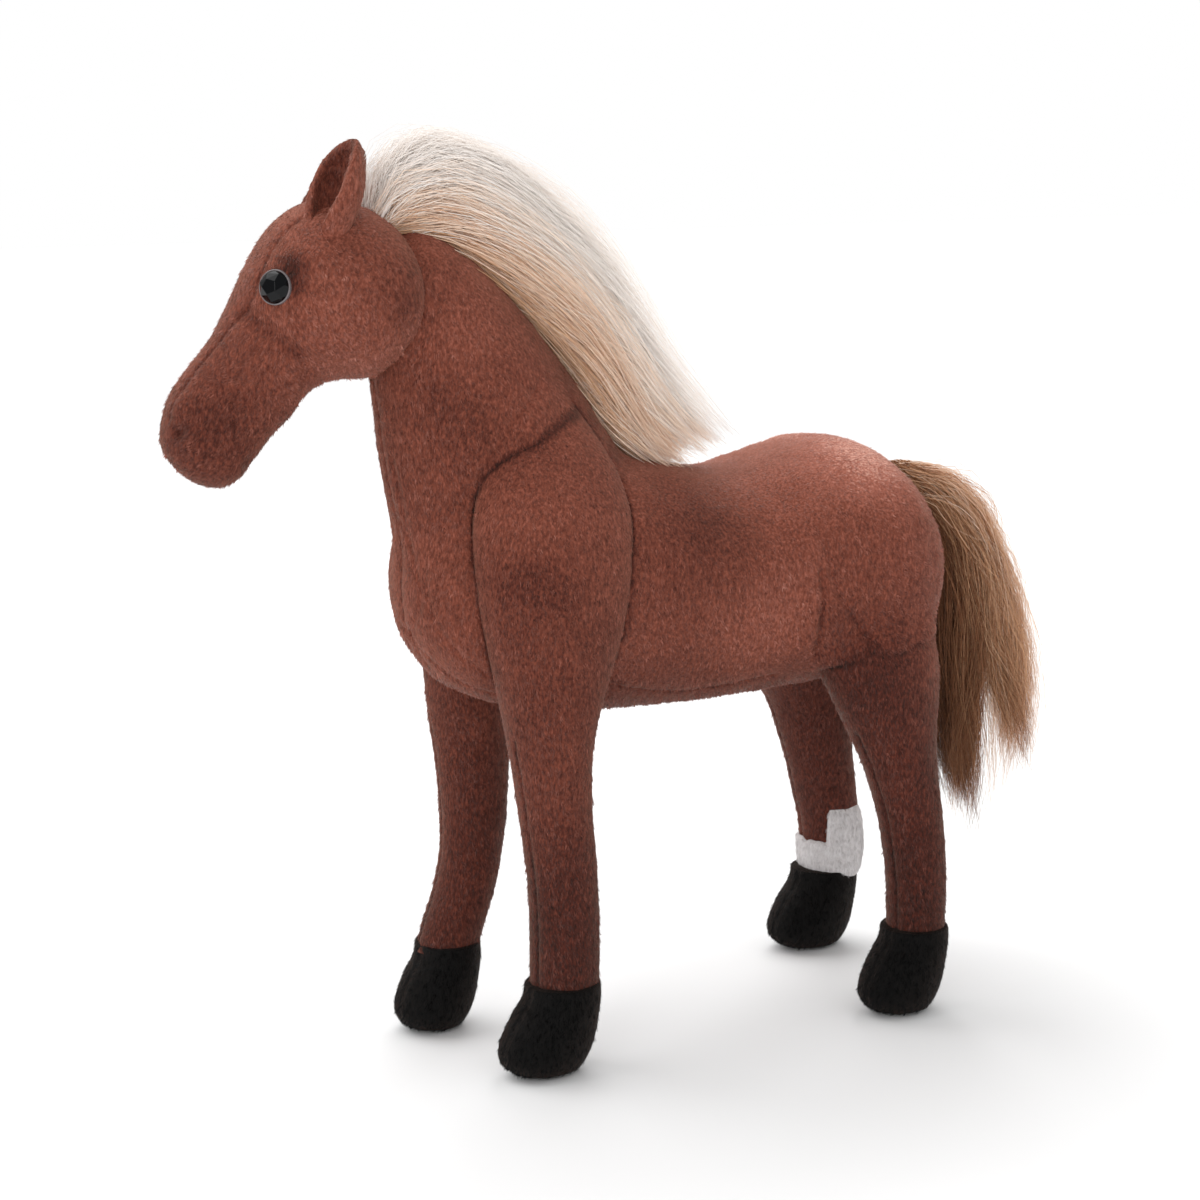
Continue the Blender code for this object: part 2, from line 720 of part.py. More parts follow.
# Tail: long hair round a rolled strip, hung from a hinge at the dock
# Each row is inner run, inner drop, outer run, outer drop, half width
tail_shares = (
    (0.00, 0.060, 0.08, 0.005, 0.40),
    (0.12, 0.130, 0.36, 0.035, 0.70),
    (0.24, 0.290, 0.70, 0.200, 0.92),
    (0.28, 0.540, 0.91, 0.460, 1.00),
    (0.38, 0.800, 0.98, 0.740, 0.82),
    (0.66, 0.980, 0.92, 0.950, 0.30),
)
tail_holder = empty("tail_hinge", dock)
tail_rings = []
for inner_run, inner_drop, outer_run, outer_drop, half in tail_shares:
    inner = (inner_run * tail_run, -inner_drop * tail_drop)
    outer = (outer_run * tail_run, -outer_drop * tail_drop)
    tail_rings.append((inner, outer, half * tail_width / 2, 0))
tail = form("tail", tail_rings, 6, tail_holder)
roll_radius = 0.0035
roll_shares = ((-0.02, -0.008), (0.26, 0.100), (0.46, 0.260))
roll_rings = []
for run, drop in roll_shares:
    middle = Vector((run * tail_run, -drop * tail_drop))
    reach = Vector((roll_radius, roll_radius)) / math.sqrt(2)
    roll_rings.append((tuple(middle - reach), tuple(middle + reach), roll_radius, 0))
roll = form("tail_roll", roll_rings, 4, tail_holder)
tail_hair = tail.solid("tail_hair", material=tan_hair)
tail_strip = roll.solid("tail_strip", material=backing_cloth)
rump_sweep = []
for step in range(3):
    turn = Matrix.Rotation(-tail_lift * step / 2, 4, "X")
    rump = trunk.cutter(f"rump_sweep_{step}", gap)
    rump.matrix_world = Matrix.Translation(dock) @ turn @ Matrix.Translation(-dock)
    rump_sweep.append(rump)
cut(tail_hair, *rump_sweep, roll.around)
cut(tail_strip, *rump_sweep)

for thing in parts.objects:
    thing.data.shade_smooth()
    thing.data.set_sharp_from_angle(angle=math.radians(50))
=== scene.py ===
import math

import bmesh
import bpy
import numpy as np
from mathutils import Matrix, Vector, noise
from mathutils.bvhtree import BVHTree
from mathutils.kdtree import KDTree


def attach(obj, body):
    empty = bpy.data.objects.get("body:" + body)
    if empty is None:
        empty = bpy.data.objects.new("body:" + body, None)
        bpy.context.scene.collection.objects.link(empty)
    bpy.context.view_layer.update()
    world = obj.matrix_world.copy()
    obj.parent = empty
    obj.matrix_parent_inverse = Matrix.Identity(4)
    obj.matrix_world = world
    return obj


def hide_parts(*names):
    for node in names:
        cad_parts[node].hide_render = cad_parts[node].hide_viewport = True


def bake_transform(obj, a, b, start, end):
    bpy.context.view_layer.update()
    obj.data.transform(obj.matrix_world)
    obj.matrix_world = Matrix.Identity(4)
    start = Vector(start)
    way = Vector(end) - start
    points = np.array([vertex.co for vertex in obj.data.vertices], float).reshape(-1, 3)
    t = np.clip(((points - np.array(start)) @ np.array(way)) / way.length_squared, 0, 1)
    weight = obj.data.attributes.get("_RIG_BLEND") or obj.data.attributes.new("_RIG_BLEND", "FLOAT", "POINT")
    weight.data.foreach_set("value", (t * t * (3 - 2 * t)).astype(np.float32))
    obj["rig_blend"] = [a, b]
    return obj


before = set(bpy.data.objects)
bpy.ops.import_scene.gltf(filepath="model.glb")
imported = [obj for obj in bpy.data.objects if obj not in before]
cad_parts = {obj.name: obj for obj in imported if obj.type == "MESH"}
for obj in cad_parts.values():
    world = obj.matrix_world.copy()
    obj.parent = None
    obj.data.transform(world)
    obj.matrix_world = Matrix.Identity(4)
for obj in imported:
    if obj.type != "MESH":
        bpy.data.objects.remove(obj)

scene = bpy.context.scene
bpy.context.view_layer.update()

# Camera
# It stands to the horse's left front, a little above its back, as the photograph was taken.
# The long lens keeps the legs almost parallel.
view_azimuth = math.radians(60.5)
view_elevation = math.radians(11)
view_distance = 1.150
view_target = Vector((0.0065, -0.026, 0.200))
towards_camera = Vector((
    math.sin(view_azimuth) * math.cos(view_elevation),
    -math.cos(view_azimuth) * math.cos(view_elevation),
    math.sin(view_elevation)))
camera_data = bpy.data.cameras.new("camera")
camera_data.sensor_width = 36
camera_data.lens = 78.42
camera = bpy.data.objects.new("camera", camera_data)
camera.location = view_target + view_distance * towards_camera
camera.rotation_euler = towards_camera.to_track_quat("Z", "Y").to_euler()
scene.collection.objects.link(camera)
scene.camera = camera

# Trunk and neck
# A bag of short-pile plush, cut as side panels with a gusset under the belly, turned right side
# out and packed hard with fibre. The seams draw the cloth in, and the filling swells between them.
mm = 0.001
# Each row is the y and z of a low or front point, the y and z of the point opposite, and a half width
trunk_rows = (
    (-120, 206, -120, 222, 8),
    (-117, 191, -117, 236, 20),
    (-107, 176, -107, 252, 32),
    (-92.5, 164, -92.5, 262, 40.5),
    (-68, 156, -68, 268, 46),
    (-30, 151, -30, 268.5, 49),
    (0, 149.7, 0, 263.5, 50),
    (32, 149.5, 32, 256, 51),
    (60, 151, 60, 260.5, 54),
    (86, 153, 86, 266.3, 57.5),
    (107, 156.5, 107, 263.3, 58.5),
    (121, 160, 121, 254, 54),
    (132.5, 166, 132.5, 242, 45),
    (142, 175, 142, 228, 32),
    (148, 187, 148, 213, 16),
)
neck_rows = (
    (-96, 190, -24, 212, 20),
    (-110, 205, -8, 232, 34),
    (-118, 222, -9, 258, 40),
    (-123, 243, -27, 285, 38.5),
    (-127.5, 266, -45, 309, 34),
    (-130.5, 288, -63, 331, 30),
    (-133, 307, -83.5, 350, 26),
    (-136, 324, -103.5, 364, 22),
    (-138, 340, -117, 369, 12),
)


def through(rows, count):
    """Rows of numbers on a smooth curve through the given rows."""
    given = np.array(rows, float)
    ends = np.vstack((2 * given[0] - given[1], given, 2 * given[-1] - given[-2]))
    found = []
    for place in np.linspace(0, len(given) - 1.000001, count):
        index = int(place)
        part = place - index
        before, here, after, beyond = ends[index:index + 4]
        found.append(0.5 * (
            2 * here
            + (after - before) * part
            + (2 * before - 5 * here + 4 * after - beyond) * part ** 2
            + (3 * here - before - 3 * after + beyond) * part ** 3))
    return np.array(found)


def face_out(mesh):
    """Turn every face outwards."""
    bm = bmesh.new()
    bm.from_mesh(mesh)
    bmesh.ops.recalc_face_normals(bm, faces=bm.faces)
    bm.to_mesh(mesh)
    bm.free()
    return mesh


def sewn_form(rows, rings, sides, fullness=1.0):
    """A closed form through oval rows, squarer below 1; a row's sixth number is its middle x."""
    dense = through(rows, rings)
    angles = (np.arange(sides) + 0.5) * 2 * math.pi / sides
    points = []
    for row in dense:
        front = np.array((row[0], row[1]))
        back = np.array((row[2], row[3]))
        middle = (front + back) / 2
        reach = (back - front) / 2
        centre = row[5] if len(row) > 5 else 0.0
        for angle in angles:
            along = math.copysign(abs(math.cos(angle)) ** fullness, math.cos(angle))
            aside = math.copysign(abs(math.sin(angle)) ** fullness, math.sin(angle))
            across = middle + reach * along
            points.append((centre + row[4] * aside, across[0], across[1]))
    first = np.array(points[:sides]).mean(axis=0)
    last = np.array(points[-sides:]).mean(axis=0)
    faces = []
    for ring in range(rings - 1):
        for side in range(sides):
            start = ring * sides
            after = (side + 1) % sides
            faces.append((start + side, start + after, start + sides + after, start + sides + side))
    points = points + [tuple(first), tuple(last)]
    for side in range(sides):
        after = (side + 1) % sides
        faces.append((after, side, len(points) - 2))
        faces.append(((rings - 1) * sides + side, (rings - 1) * sides + after, len(points) - 1))
    mesh = bpy.data.meshes.new("form")
    mesh.from_pydata([tuple(c * mm for c in point) for point in points], [], faces)
    return face_out(mesh)


def show(name, mesh):
    thing = bpy.data.objects.new(name, mesh)
    scene.collection.objects.link(thing)
    return thing


def settle(thing):
    """The mesh that an object's modifiers give, as a plain mesh on the same object."""
    deps = bpy.context.evaluated_depsgraph_get()
    mesh = bpy.data.meshes.new_from_object(thing.evaluated_get(deps))
    thing.modifiers.clear()
    thing.data = mesh
    return mesh


def melt(thing, voxel, passes):
    """Overlapping forms become one skin, and its inner corners are softened."""
    remesh = thing.modifiers.new("voxels", "REMESH")
    remesh.mode = "VOXEL"
    remesh.voxel_size = voxel
    soften = thing.modifiers.new("soften", "SMOOTH")
    soften.factor = 0.5
    soften.iterations = passes
    settle(thing)


def coordinates(mesh):
    points = np.empty(len(mesh.vertices) * 3)
    mesh.vertices.foreach_get("co", points)
    return points.reshape(-1, 3)


def normals(mesh):
    found = np.empty(len(mesh.vertices) * 3)
    mesh.vertex_normals.foreach_get("vector", found)
    return found.reshape(-1, 3)


def put(mesh, points):
    mesh.vertices.foreach_set("co", np.ascontiguousarray(points, float).ravel())
    mesh.update()


seam_step = 0.8 * mm


def cloth_tree(mesh):
    faces = [tuple(face.vertices) for face in mesh.polygons]
    return BVHTree.FromPolygons([vertex.co for vertex in mesh.vertices], faces)


def laid_seams(lines, mesh):
    """Seams drawn by a few points in mm each, walked in short steps and laid on the cloth."""
    tree = cloth_tree(mesh)
    seams = []
    for line in lines:
        marks = np.array(line, float) * mm
        length = np.linalg.norm(np.diff(marks, axis=0), axis=1).sum()
        walked = through(marks, max(4, int(length / seam_step)))
        seams.append([tree.find_nearest(Vector(point))[0] for point in walked])
    return seams


def nearest_marks(points, seams):
    """For each point, the number of the nearest mark along the seams and how far off it is."""
    marks = [mark for seam in seams for mark in seam]
    tree = KDTree(len(marks))
    for index, mark in enumerate(marks):
        tree.insert(mark, index)
    tree.balance()
    found = [tree.find(Vector(point)) for point in points]
    return np.array([item[1] for item in found]), np.array([item[2] for item in found])


def seam_distance(points, seams):
    return nearest_marks(points, seams)[1]


def seam_line(points, seams, width):
    """1 on a seam, fading to nothing over a width in mm."""
    return np.exp(-(seam_distance(points, seams) / (width * mm)) ** 2)


def stuff(thing, seams, cap=0.0022):
    """Blow the bag up with the cloth solver, held along its seams, and cap how far it swells."""
    hold = 0.0022
    frames = 18
    mesh = thing.data
    put(mesh, coordinates(mesh) - normals(mesh) * (0.25 * cap))
    rest = coordinates(mesh)
    held = thing.vertex_groups.new(name="seams")
    for index in np.nonzero(seam_distance(rest, seams) < hold)[0]:
        held.add([int(index)], 1.0, "REPLACE")
    cloth = thing.modifiers.new("cloth", "CLOTH")
    settings = cloth.settings
    settings.quality = 5
    settings.mass = 0.3
    settings.tension_stiffness = 12
    settings.compression_stiffness = 12
    settings.bending_stiffness = 0.6
    settings.use_pressure = True
    settings.uniform_pressure_force = 4.0
    settings.effector_weights.gravity = 0
    settings.vertex_group_mass = held.name
    cloth.collision_settings.use_collision = False
    cloth.point_cache.frame_start = 1
    cloth.point_cache.frame_end = frames
    for number in range(1, frames + 1):
        scene.frame_set(number)
    deps = bpy.context.evaluated_depsgraph_get()
    blown = coordinates(thing.evaluated_get(deps).data)
    thing.modifiers.clear()
    thing.vertex_groups.clear()
    scene.frame_set(1)
    move = blown - rest
    length = np.linalg.norm(move, axis=1, keepdims=True)
    move *= np.minimum(1, cap / np.maximum(length, 1e-9))
    put(mesh, rest + move)


def refine(thing):
    """One subdivision, applied."""
    finer = thing.modifiers.new("finer", "SUBSURF")
    finer.levels = 1
    finer.render_levels = 1
    settle(thing)


def lumps(points, size, seed):
    """Uneven filling: a smooth field from -1 to 1 with lumps of that size."""
    shift = Vector((seed * 7.1, seed * 3.3, seed * 5.7))
    return np.array([noise.noise(Vector(point) / size + shift) for point in points])


def draw_in(mesh, seams, depth, width, pucker=0.0, pitch=6):
    """A seam pulls the cloth in along its line, with small gathers across it; all in mm."""
    points = coordinates(mesh)
    away = normals(mesh)
    number, distance = nearest_marks(points, seams)
    pull = depth * mm * np.exp(-(distance / (width * mm)) ** 2)
    ripple = np.sin(number * seam_step * 2 * math.pi / (pitch * mm))
    gather = pucker * mm * np.exp(-(distance / (2.6 * width * mm)) ** 2) * ripple
    put(mesh, points - away * (pull + gather)[:, None])


def swell(mesh, *layers):
    """Uneven filling lifts the skin: each layer is a height in mm, a lump size and a seed."""
    points = coordinates(mesh)
    lift = sum(height * mm * lumps(points, size, seed) for height, size, seed in layers)
    put(mesh, points + normals(mesh) * lift[:, None])


def crisp(mesh, near):
    """Finer cloth where a seam runs, so that its groove stays sharp."""
    bm = bmesh.new()
    bm.from_mesh(mesh)
    bm.verts.ensure_lookup_table()
    edges = [edge for edge in bm.edges if near[edge.verts[0].index] and near[edge.verts[1].index]]
    bmesh.ops.subdivide_edges(bm, edges=edges, cuts=2, use_grid_fill=True)
    bmesh.ops.triangulate(bm, faces=[face for face in bm.faces if len(face.verts) > 4])
    bm.to_mesh(mesh)
    bm.free()
    mesh.update()


def dent(mesh, centre, radius, depth, stretch=(1, 1, 1)):
    """Press or raise one place of the skin along its normals; a negative depth raises it."""
    points = coordinates(mesh)
    away = normals(mesh)
    reach = (points - np.array(centre) * mm) / (np.array(stretch) * radius * mm)
    fall = np.exp(-(reach ** 2).sum(axis=1))
    put(mesh, points - away * (depth * mm * fall)[:, None])


def attribute(mesh, name, values):
    kind = "FLOAT_VECTOR" if np.ndim(values) > 1 else "FLOAT"
    layer = mesh.attributes.get(name) or mesh.attributes.new(name, kind, "POINT")
    layer.data.foreach_set("vector" if np.ndim(values) > 1 else "value", np.ravel(values))


def step_between(low, high, values):
    part = np.clip((values - low) / (high - low), 0, 1)
    return part * part * (3 - 2 * part)


def depth_in(points, mesh):
    """How deep each point lies inside another skin; outside it is negative, far off it is -reach."""
    reach = 0.03
    tree = cloth_tree(mesh)
    found = np.full(len(points), -reach)
    for index, point in enumerate(points):
        place, normal, face, distance = tree.find_nearest(Vector(point), reach)
        if place is not None:
            found[index] = math.copysign(distance, (place - Vector(point)).dot(normal))
    return found


def joined(meshes):
    bm = bmesh.new()
    for mesh in meshes:
        bm.from_mesh(mesh)
    whole = bpy.data.meshes.new("joined")
    bm.to_mesh(whole)
    bm.free()
    return whole


def haunch_rows(side):
    """The swell of the hindquarter that closes over the top of the hind leg."""
    return (
        (85, 208, 107, 208, 6, 31 * side),
        (73, 197, 123, 197, 17, 33 * side),
        (67, 184, 131, 185, 21.5, 36 * side),
        (66.5, 172, 132.5, 178, 23.3, 37.8 * side),
        (67.5, 166, 131.5, 174.5, 22.3, 38.5 * side),
        (72, 163.5, 128, 172.5, 17, 38.8 * side))


body = show("body_skin", joined([
    sewn_form(trunk_rows, 70, 48, 0.86), sewn_form(neck_rows, 50, 36),
    sewn_form(haunch_rows(1), 24, 36), sewn_form(haunch_rows(-1), 24, 36)]))
melt(body, 3.6 * mm, 14)


def both_sides(lines):
    """The lines given for the horse's left, and the same ones on its right."""
    return list(lines) + [[(-x, y, z) for x, y, z in line] for line in lines]


chest_seam = (
    (0, -133, 300), (0, -131, 280), (0, -127, 255), (0, -124, 230), (0, -120, 200), (0, -112, 178),
    (0, -90, 158))
shoulder_seam = (
    (28, -69, 298), (33, -77, 291), (34, -88, 279), (33, -94, 270), (33, -100, 258), (34, -102, 245),
    (34, -103, 231), (35, -103, 216), (37, -101, 204), (41, -97, 189), (42, -92, 173))
shoulder_back_seam = (
    (24, -48, 293), (32, -40, 282), (38, -32, 265), (43, -31, 251), (49, -33, 232), (52, -39, 210),
    (54, -45, 194), (55, -50, 181), (54, -53, 168))
belly_seam = ((44, -44, 166), (36, -23, 164), (33, -1, 160), (35, 16, 160), (38, 45, 163))
haunch_seam = ((53, 60, 212), (54, 61, 205), (52, 61, 188), (48, 62, 172))
haunch_slant = ((53, 62, 222), (54, 66, 208), (55, 73, 195), (53, 82, 183), (49, 89, 174))
body_lines = [chest_seam] + both_sides((belly_seam, haunch_seam, haunch_slant))
stuff(body, laid_seams(body_lines, body.data))
refine(body)
body_lines += both_sides((shoulder_seam, shoulder_back_seam))
body_seams = laid_seams(body_lines, body.data)
crisp(body.data, seam_distance(coordinates(body.data), body_seams) < 3.5 * mm)
draw_in(body.data, body_seams, 0.7, 3.4, 0.2, 7)
draw_in(body.data, body_seams, 0.8, 0.9)
haunch_lines = laid_seams(both_sides((haunch_seam,)), body.data)
draw_in(body.data, haunch_lines, 0.5, 1.4)
chest_folds = both_sides((
    ((-4, -121, 242), (-14, -114, 210), (6, -114, 186), (15, -105, 173), (24, -87, 165)),
    ((17, -117, 225), (19, -115, 210), (22, -113, 199), (27, -107, 188), (31, -95, 177)),
    ((6, -126, 270), (8, -124, 250), (9, -121, 232))))
for fold in chest_folds:
    draw_in(body.data, laid_seams([fold], body.data), 0.9, 1.7)
body_points = coordinates(body.data)
swelling = 0.8 * mm * lumps(body_points, 0.030, 1) + 0.4 * mm * lumps(body_points, 0.011, 2)
# Fine drag lines cross the rump on a slant, where the cloth is pulled over the filling
slanted = body_points @ np.array(((0.9, 0.0, 0.0), (0.0, 0.35, 0.9), (0.0, 0.9, -0.35)))
drag = lumps(slanted * np.array((1, 0.35, 1)), 0.0045, 4)
swelling += 0.35 * mm * drag * step_between(0.02, 0.09, body_points[:, 1])
put(body.data, body_points + normals(body.data) * swelling[:, None])


def linear(colour):
    """An sRGB hex colour as linear light."""
    channels = [int(colour[index:index + 2], 16) / 255 for index in (1, 3, 5)]
    light = [c / 12.92 if c <= 0.04045 else ((c + 0.055) / 1.055) ** 2.4 for c in channels]
    return tuple(light) + (1.0,)


def add(tree, kind, inputs=None, **settings):
    """One node with its settings, its values and its links."""
    made = tree.nodes.new(kind)
    for name, value in settings.items():
        setattr(made, name, value)
    for name, value in (inputs or {}).items():
        if isinstance(value, bpy.types.NodeSocket):
            tree.links.new(value, made.inputs[name])
        else:
            made.inputs[name].default_value = value
    return made


def ramp(tree, factor, stops):
    """Colours that follow a tone through the given stops."""
    blend = add(tree, "ShaderNodeValToRGB", {0: factor})
    while len(blend.color_ramp.elements) < len(stops):
        blend.color_ramp.elements.new(0.5)
    for element, (place, colour) in zip(blend.color_ramp.elements, stops):
        element.position = place
        element.color = linear(colour)
    return blend.outputs["Color"]


def bare_material(name):
    """A new material with no nodes yet."""
    material = bpy.data.materials.new(name)
    material.use_nodes = True
    material.node_tree.nodes.clear()
    return material


def knitted_plush(name, stops, grain, sheen=0.25):
    """Brushed short-pile polyester: soft strokes of nap over a matt knitted ground."""
    material = bare_material(name)
    tree = material.node_tree
    place = add(tree, "ShaderNodeTexCoord").outputs["Object"]
    stretched = add(tree, "ShaderNodeMapping", {"Vector": place, "Scale": grain})
    strokes = add(tree, "ShaderNodeTexNoise", {
        "Vector": stretched.outputs[0], "Scale": 1.0, "Detail": 3.0, "Roughness": 0.6}).outputs["Fac"]
    shade = add(tree, "ShaderNodeAttribute", attribute_name="shade").outputs["Fac"]
    tone = add(tree, "ShaderNodeMath", {0: strokes, 1: 0.9, 2: -0.45}, operation="MULTIPLY_ADD")
    tone = add(tree, "ShaderNodeMath", {0: tone.outputs[0], 1: shade}, operation="ADD")
    colour = ramp(tree, tone.outputs[0], stops)
    bump = add(tree, "ShaderNodeBump", {"Height": strokes, "Strength": 0.8, "Distance": 0.5 * mm})
    shader = add(tree, "ShaderNodeBsdfPrincipled", {
        "Base Color": colour, "Roughness": 0.85, "Normal": bump.outputs[0],
        "Sheen Weight": sheen, "Sheen Roughness": 0.5, "Sheen Tint": linear("#e8b8a0"),
        "Specular IOR Level": 0.2})
    add(tree, "ShaderNodeOutputMaterial", {"Surface": shader.outputs[0]})
    return material


# Nap strokes per metre in x, y and z: about 0.7 mm wide and 2.4 mm long, coarser than real pile,
# because finer ones wouldn't show
nap_grain = (1.4 / mm, 0.8 / mm, 0.42 / mm)
# Painted shade between the tufts, chestnut on their sides and pinkish painted light where the brushed tips
# catch the light
chestnut_stops = (
    (0.0, "#200b06"), (0.25, "#4e2117"), (0.50, "#7a4030"), (0.75, "#a2604f"), (1.0, "#e0aa98"))
chestnut_plush = knitted_plush("brushed chestnut plush", chestnut_stops, nap_grain)


def brushed_fibre(name, stops, sheen, gloss=0.35):
    """The tips of the pile; OFBake's u is each tuft's tone and its v runs from root to tip."""
    material = bare_material(name)
    tree = material.node_tree
    flat = add(tree, "ShaderNodeUVMap", uv_map="OFBake").outputs[0]
    where = add(tree, "ShaderNodeSeparateXYZ", {0: flat}).outputs
    # Each tuft is darker at its root and lighter at its tip: painted shade between the fibres, painted light
    # on the tips
    tone = add(tree, "ShaderNodeMath", {0: where[1], 1: 0.16, 2: where[0]}, operation="MULTIPLY_ADD")
    tone = add(tree, "ShaderNodeMath", {0: tone.outputs[0], 1: 0.08}, operation="SUBTRACT")
    colour = ramp(tree, tone.outputs[0], stops)
    shader = add(tree, "ShaderNodeBsdfPrincipled", {
        "Base Color": colour, "Roughness": 0.5, "Sheen Weight": sheen,
        "Sheen Roughness": 0.4, "Sheen Tint": linear("#f0c0a8"), "Specular IOR Level": gloss})
    add(tree, "ShaderNodeOutputMaterial", {"Surface": shader.outputs[0]})
    return material


chestnut_fibre = brushed_fibre("brushed chestnut fibre", chestnut_stops, 0.6)


def open_group(name, sizes, counts):
    """A Geometry Nodes group whose inputs are its sizes, its counts and the fibre's material."""
    tree = bpy.data.node_groups.new(name, "GeometryNodeTree")
    sockets = tree.interface
    sockets.new_socket("Geometry", in_out="INPUT", socket_type="NodeSocketGeometry")
    for label, value in sizes.items():
        sockets.new_socket(label, in_out="INPUT", socket_type="NodeSocketFloat").default_value = value
    for label, value in counts.items():
        sockets.new_socket(label, in_out="INPUT", socket_type="NodeSocketInt").default_value = value
    sockets.new_socket("Fibre", in_out="INPUT", socket_type="NodeSocketMaterial")
    sockets.new_socket("Geometry", in_out="OUTPUT", socket_type="NodeSocketGeometry")
    return tree


def pile_tree():
    """Tufts of pile scattered over a skin, laid along its nap and lifted at the tip."""
    tree = open_group("short pile", {
        "Spacing": 0.65 * mm, "Tuft length": 1.7 * mm, "Tuft width": 0.40 * mm, "Lift": 0.3 * mm,
        "Disorder": 0.35}, {"Seed": 1})
    given = add(tree, "NodeGroupInput").outputs
    kinds = {
        "cover": "FLOAT", "nap": "FLOAT_VECTOR", "shade": "FLOAT", "tone": "FLOAT", "along": "FLOAT",
        "across": "FLOAT"}
    read = {
        label: add(tree, "GeometryNodeInputNamedAttribute", {"Name": label}, data_type=kind).outputs[0]
        for label, kind in kinds.items()}
    area = add(tree, "ShaderNodeMath", {
        0: given["Spacing"], 1: given["Spacing"]}, operation="MULTIPLY").outputs[0]
    density = add(tree, "ShaderNodeMath", {0: read["cover"], 1: area}, operation="DIVIDE").outputs[0]
    scatter = add(tree, "GeometryNodeDistributePointsOnFaces", {
        "Mesh": given["Geometry"], "Density": density, "Seed": given["Seed"]}).outputs
    stray = add(tree, "FunctionNodeRandomValue", {
        "Min": (-1, -1, -1), "Max": (1, 1, 1), "Seed": given["Seed"]}, data_type="FLOAT_VECTOR").outputs[0]
    stray = add(tree, "ShaderNodeVectorMath", {
        0: stray, "Scale": given["Disorder"]}, operation="SCALE").outputs[0]
    lay = add(tree, "ShaderNodeVectorMath", {0: read["nap"], 1: stray}, operation="ADD").outputs[0]
    # Tufts rock together in clumps about 1.3 mm wide and 3.3 mm long
    place = add(tree, "GeometryNodeInputPosition").outputs[0]
    place = add(tree, "ShaderNodeVectorMath", {
        0: place, 1: (0.78 / mm, 0.66 / mm, 0.3 / mm)}, operation="MULTIPLY").outputs[0]
    clump = add(tree, "ShaderNodeTexNoise", {"Vector": place, "Scale": 1.0, "Detail": 1.0}).outputs
    rock = add(tree, "ShaderNodeVectorMath", {
        0: clump["Color"], 1: (0.5, 0.5, 0.5)}, operation="SUBTRACT").outputs[0]
    rock = add(tree, "ShaderNodeVectorMath", {0: rock, "Scale": 2.6}, operation="SCALE").outputs[0]
    up = add(tree, "ShaderNodeVectorMath", {0: scatter["Normal"], 1: rock}, operation="ADD").outputs[0]
    turn = add(tree, "FunctionNodeAxesToRotation", {
        0: up, 1: lay}, primary_axis="Z", secondary_axis="Y").outputs[0]
    change = add(tree, "FunctionNodeRandomValue", {
        2: -0.55, 3: -0.39, "Seed": given["Seed"]}, data_type="FLOAT").outputs[1]
    change = add(tree, "ShaderNodeMath", {
        0: clump["Fac"], 1: 0.94, 2: change}, operation="MULTIPLY_ADD").outputs[0]
    tone = add(tree, "ShaderNodeMath", {0: read["shade"], 1: change}, operation="ADD").outputs[0]
    toned = add(tree, "GeometryNodeStoreNamedAttribute", {
        "Geometry": scatter["Points"], "Name": "tone", "Value": tone}, data_type="FLOAT", domain="POINT")
    # A tuft is a triangle: its first corner is the tip, and the other two are the root's edges
    sheet = add(tree, "GeometryNodeMeshCircle", {"Vertices": 3}, fill_type="NGON")
    corner = add(tree, "GeometryNodeInputIndex").outputs[0]
    tip = add(tree, "ShaderNodeMath", {0: 1.0, 1: corner}, operation="SUBTRACT").outputs[0]
    tip = add(tree, "ShaderNodeMath", {0: tip, 1: 0.0}, operation="MAXIMUM").outputs[0]
    edge = add(tree, "ShaderNodeMath", {0: corner, 1: 1.0}, operation="SUBTRACT").outputs[0]
    edge = add(tree, "ShaderNodeMath", {0: edge, 1: 0.0}, operation="MAXIMUM").outputs[0]
    edge = add(tree, "ShaderNodeMath", {0: tip, 1: 0.5, 2: edge}, operation="MULTIPLY_ADD").outputs[0]
    marked = sheet.outputs["Mesh"]
    for label, value in (("along", tip), ("across", edge)):
        marked = add(tree, "GeometryNodeStoreNamedAttribute", {
            "Geometry": marked, "Name": label, "Value": value},
            data_type="FLOAT", domain="POINT").outputs[0]
    aside = add(tree, "ShaderNodeMath", {0: read["across"], 1: 0.5}, operation="SUBTRACT").outputs[0]
    side = add(tree, "ShaderNodeMath", {
        0: aside, 1: given["Tuft width"]}, operation="MULTIPLY").outputs[0]
    ahead = add(tree, "ShaderNodeMath", {
        0: read["along"], 1: given["Tuft length"]}, operation="MULTIPLY").outputs[0]
    rise = add(tree, "ShaderNodeMath", {
        0: read["along"], 1: given["Lift"], 2: -0.10 * mm}, operation="MULTIPLY_ADD").outputs[0]
    spot = add(tree, "ShaderNodeCombineXYZ", {0: side, 1: ahead, 2: rise}).outputs[0]
    tuft = add(tree, "GeometryNodeSetPosition", {"Geometry": marked, "Position": spot})
    size = add(tree, "FunctionNodeRandomValue", {2: 0.8, 3: 1.1, "Seed": 7}, data_type="FLOAT").outputs[1]
    fuller = add(tree, "ShaderNodeMath", {
        0: clump["Fac"], 1: 1.8, 2: 0.1}, operation="MULTIPLY_ADD").outputs[0]
    size = add(tree, "ShaderNodeMath", {0: size, 1: fuller}, operation="MULTIPLY").outputs[0]
    sown = add(tree, "GeometryNodeInstanceOnPoints", {
        "Points": toned.outputs[0], "Instance": tuft.outputs[0], "Rotation": turn, "Scale": size})
    real = add(tree, "GeometryNodeRealizeInstances", {0: sown.outputs[0]})
    u = add(tree, "ShaderNodeMath", {
        0: read["across"], 1: 0.02, 2: read["tone"]}, operation="MULTIPLY_ADD").outputs[0]
    flat = add(tree, "ShaderNodeCombineXYZ", {0: u, 1: read["along"]}).outputs[0]
    mapped = add(tree, "GeometryNodeStoreNamedAttribute", {
        "Geometry": real.outputs[0], "Name": "OFBake", "Value": flat}, data_type="FLOAT2", domain="CORNER")
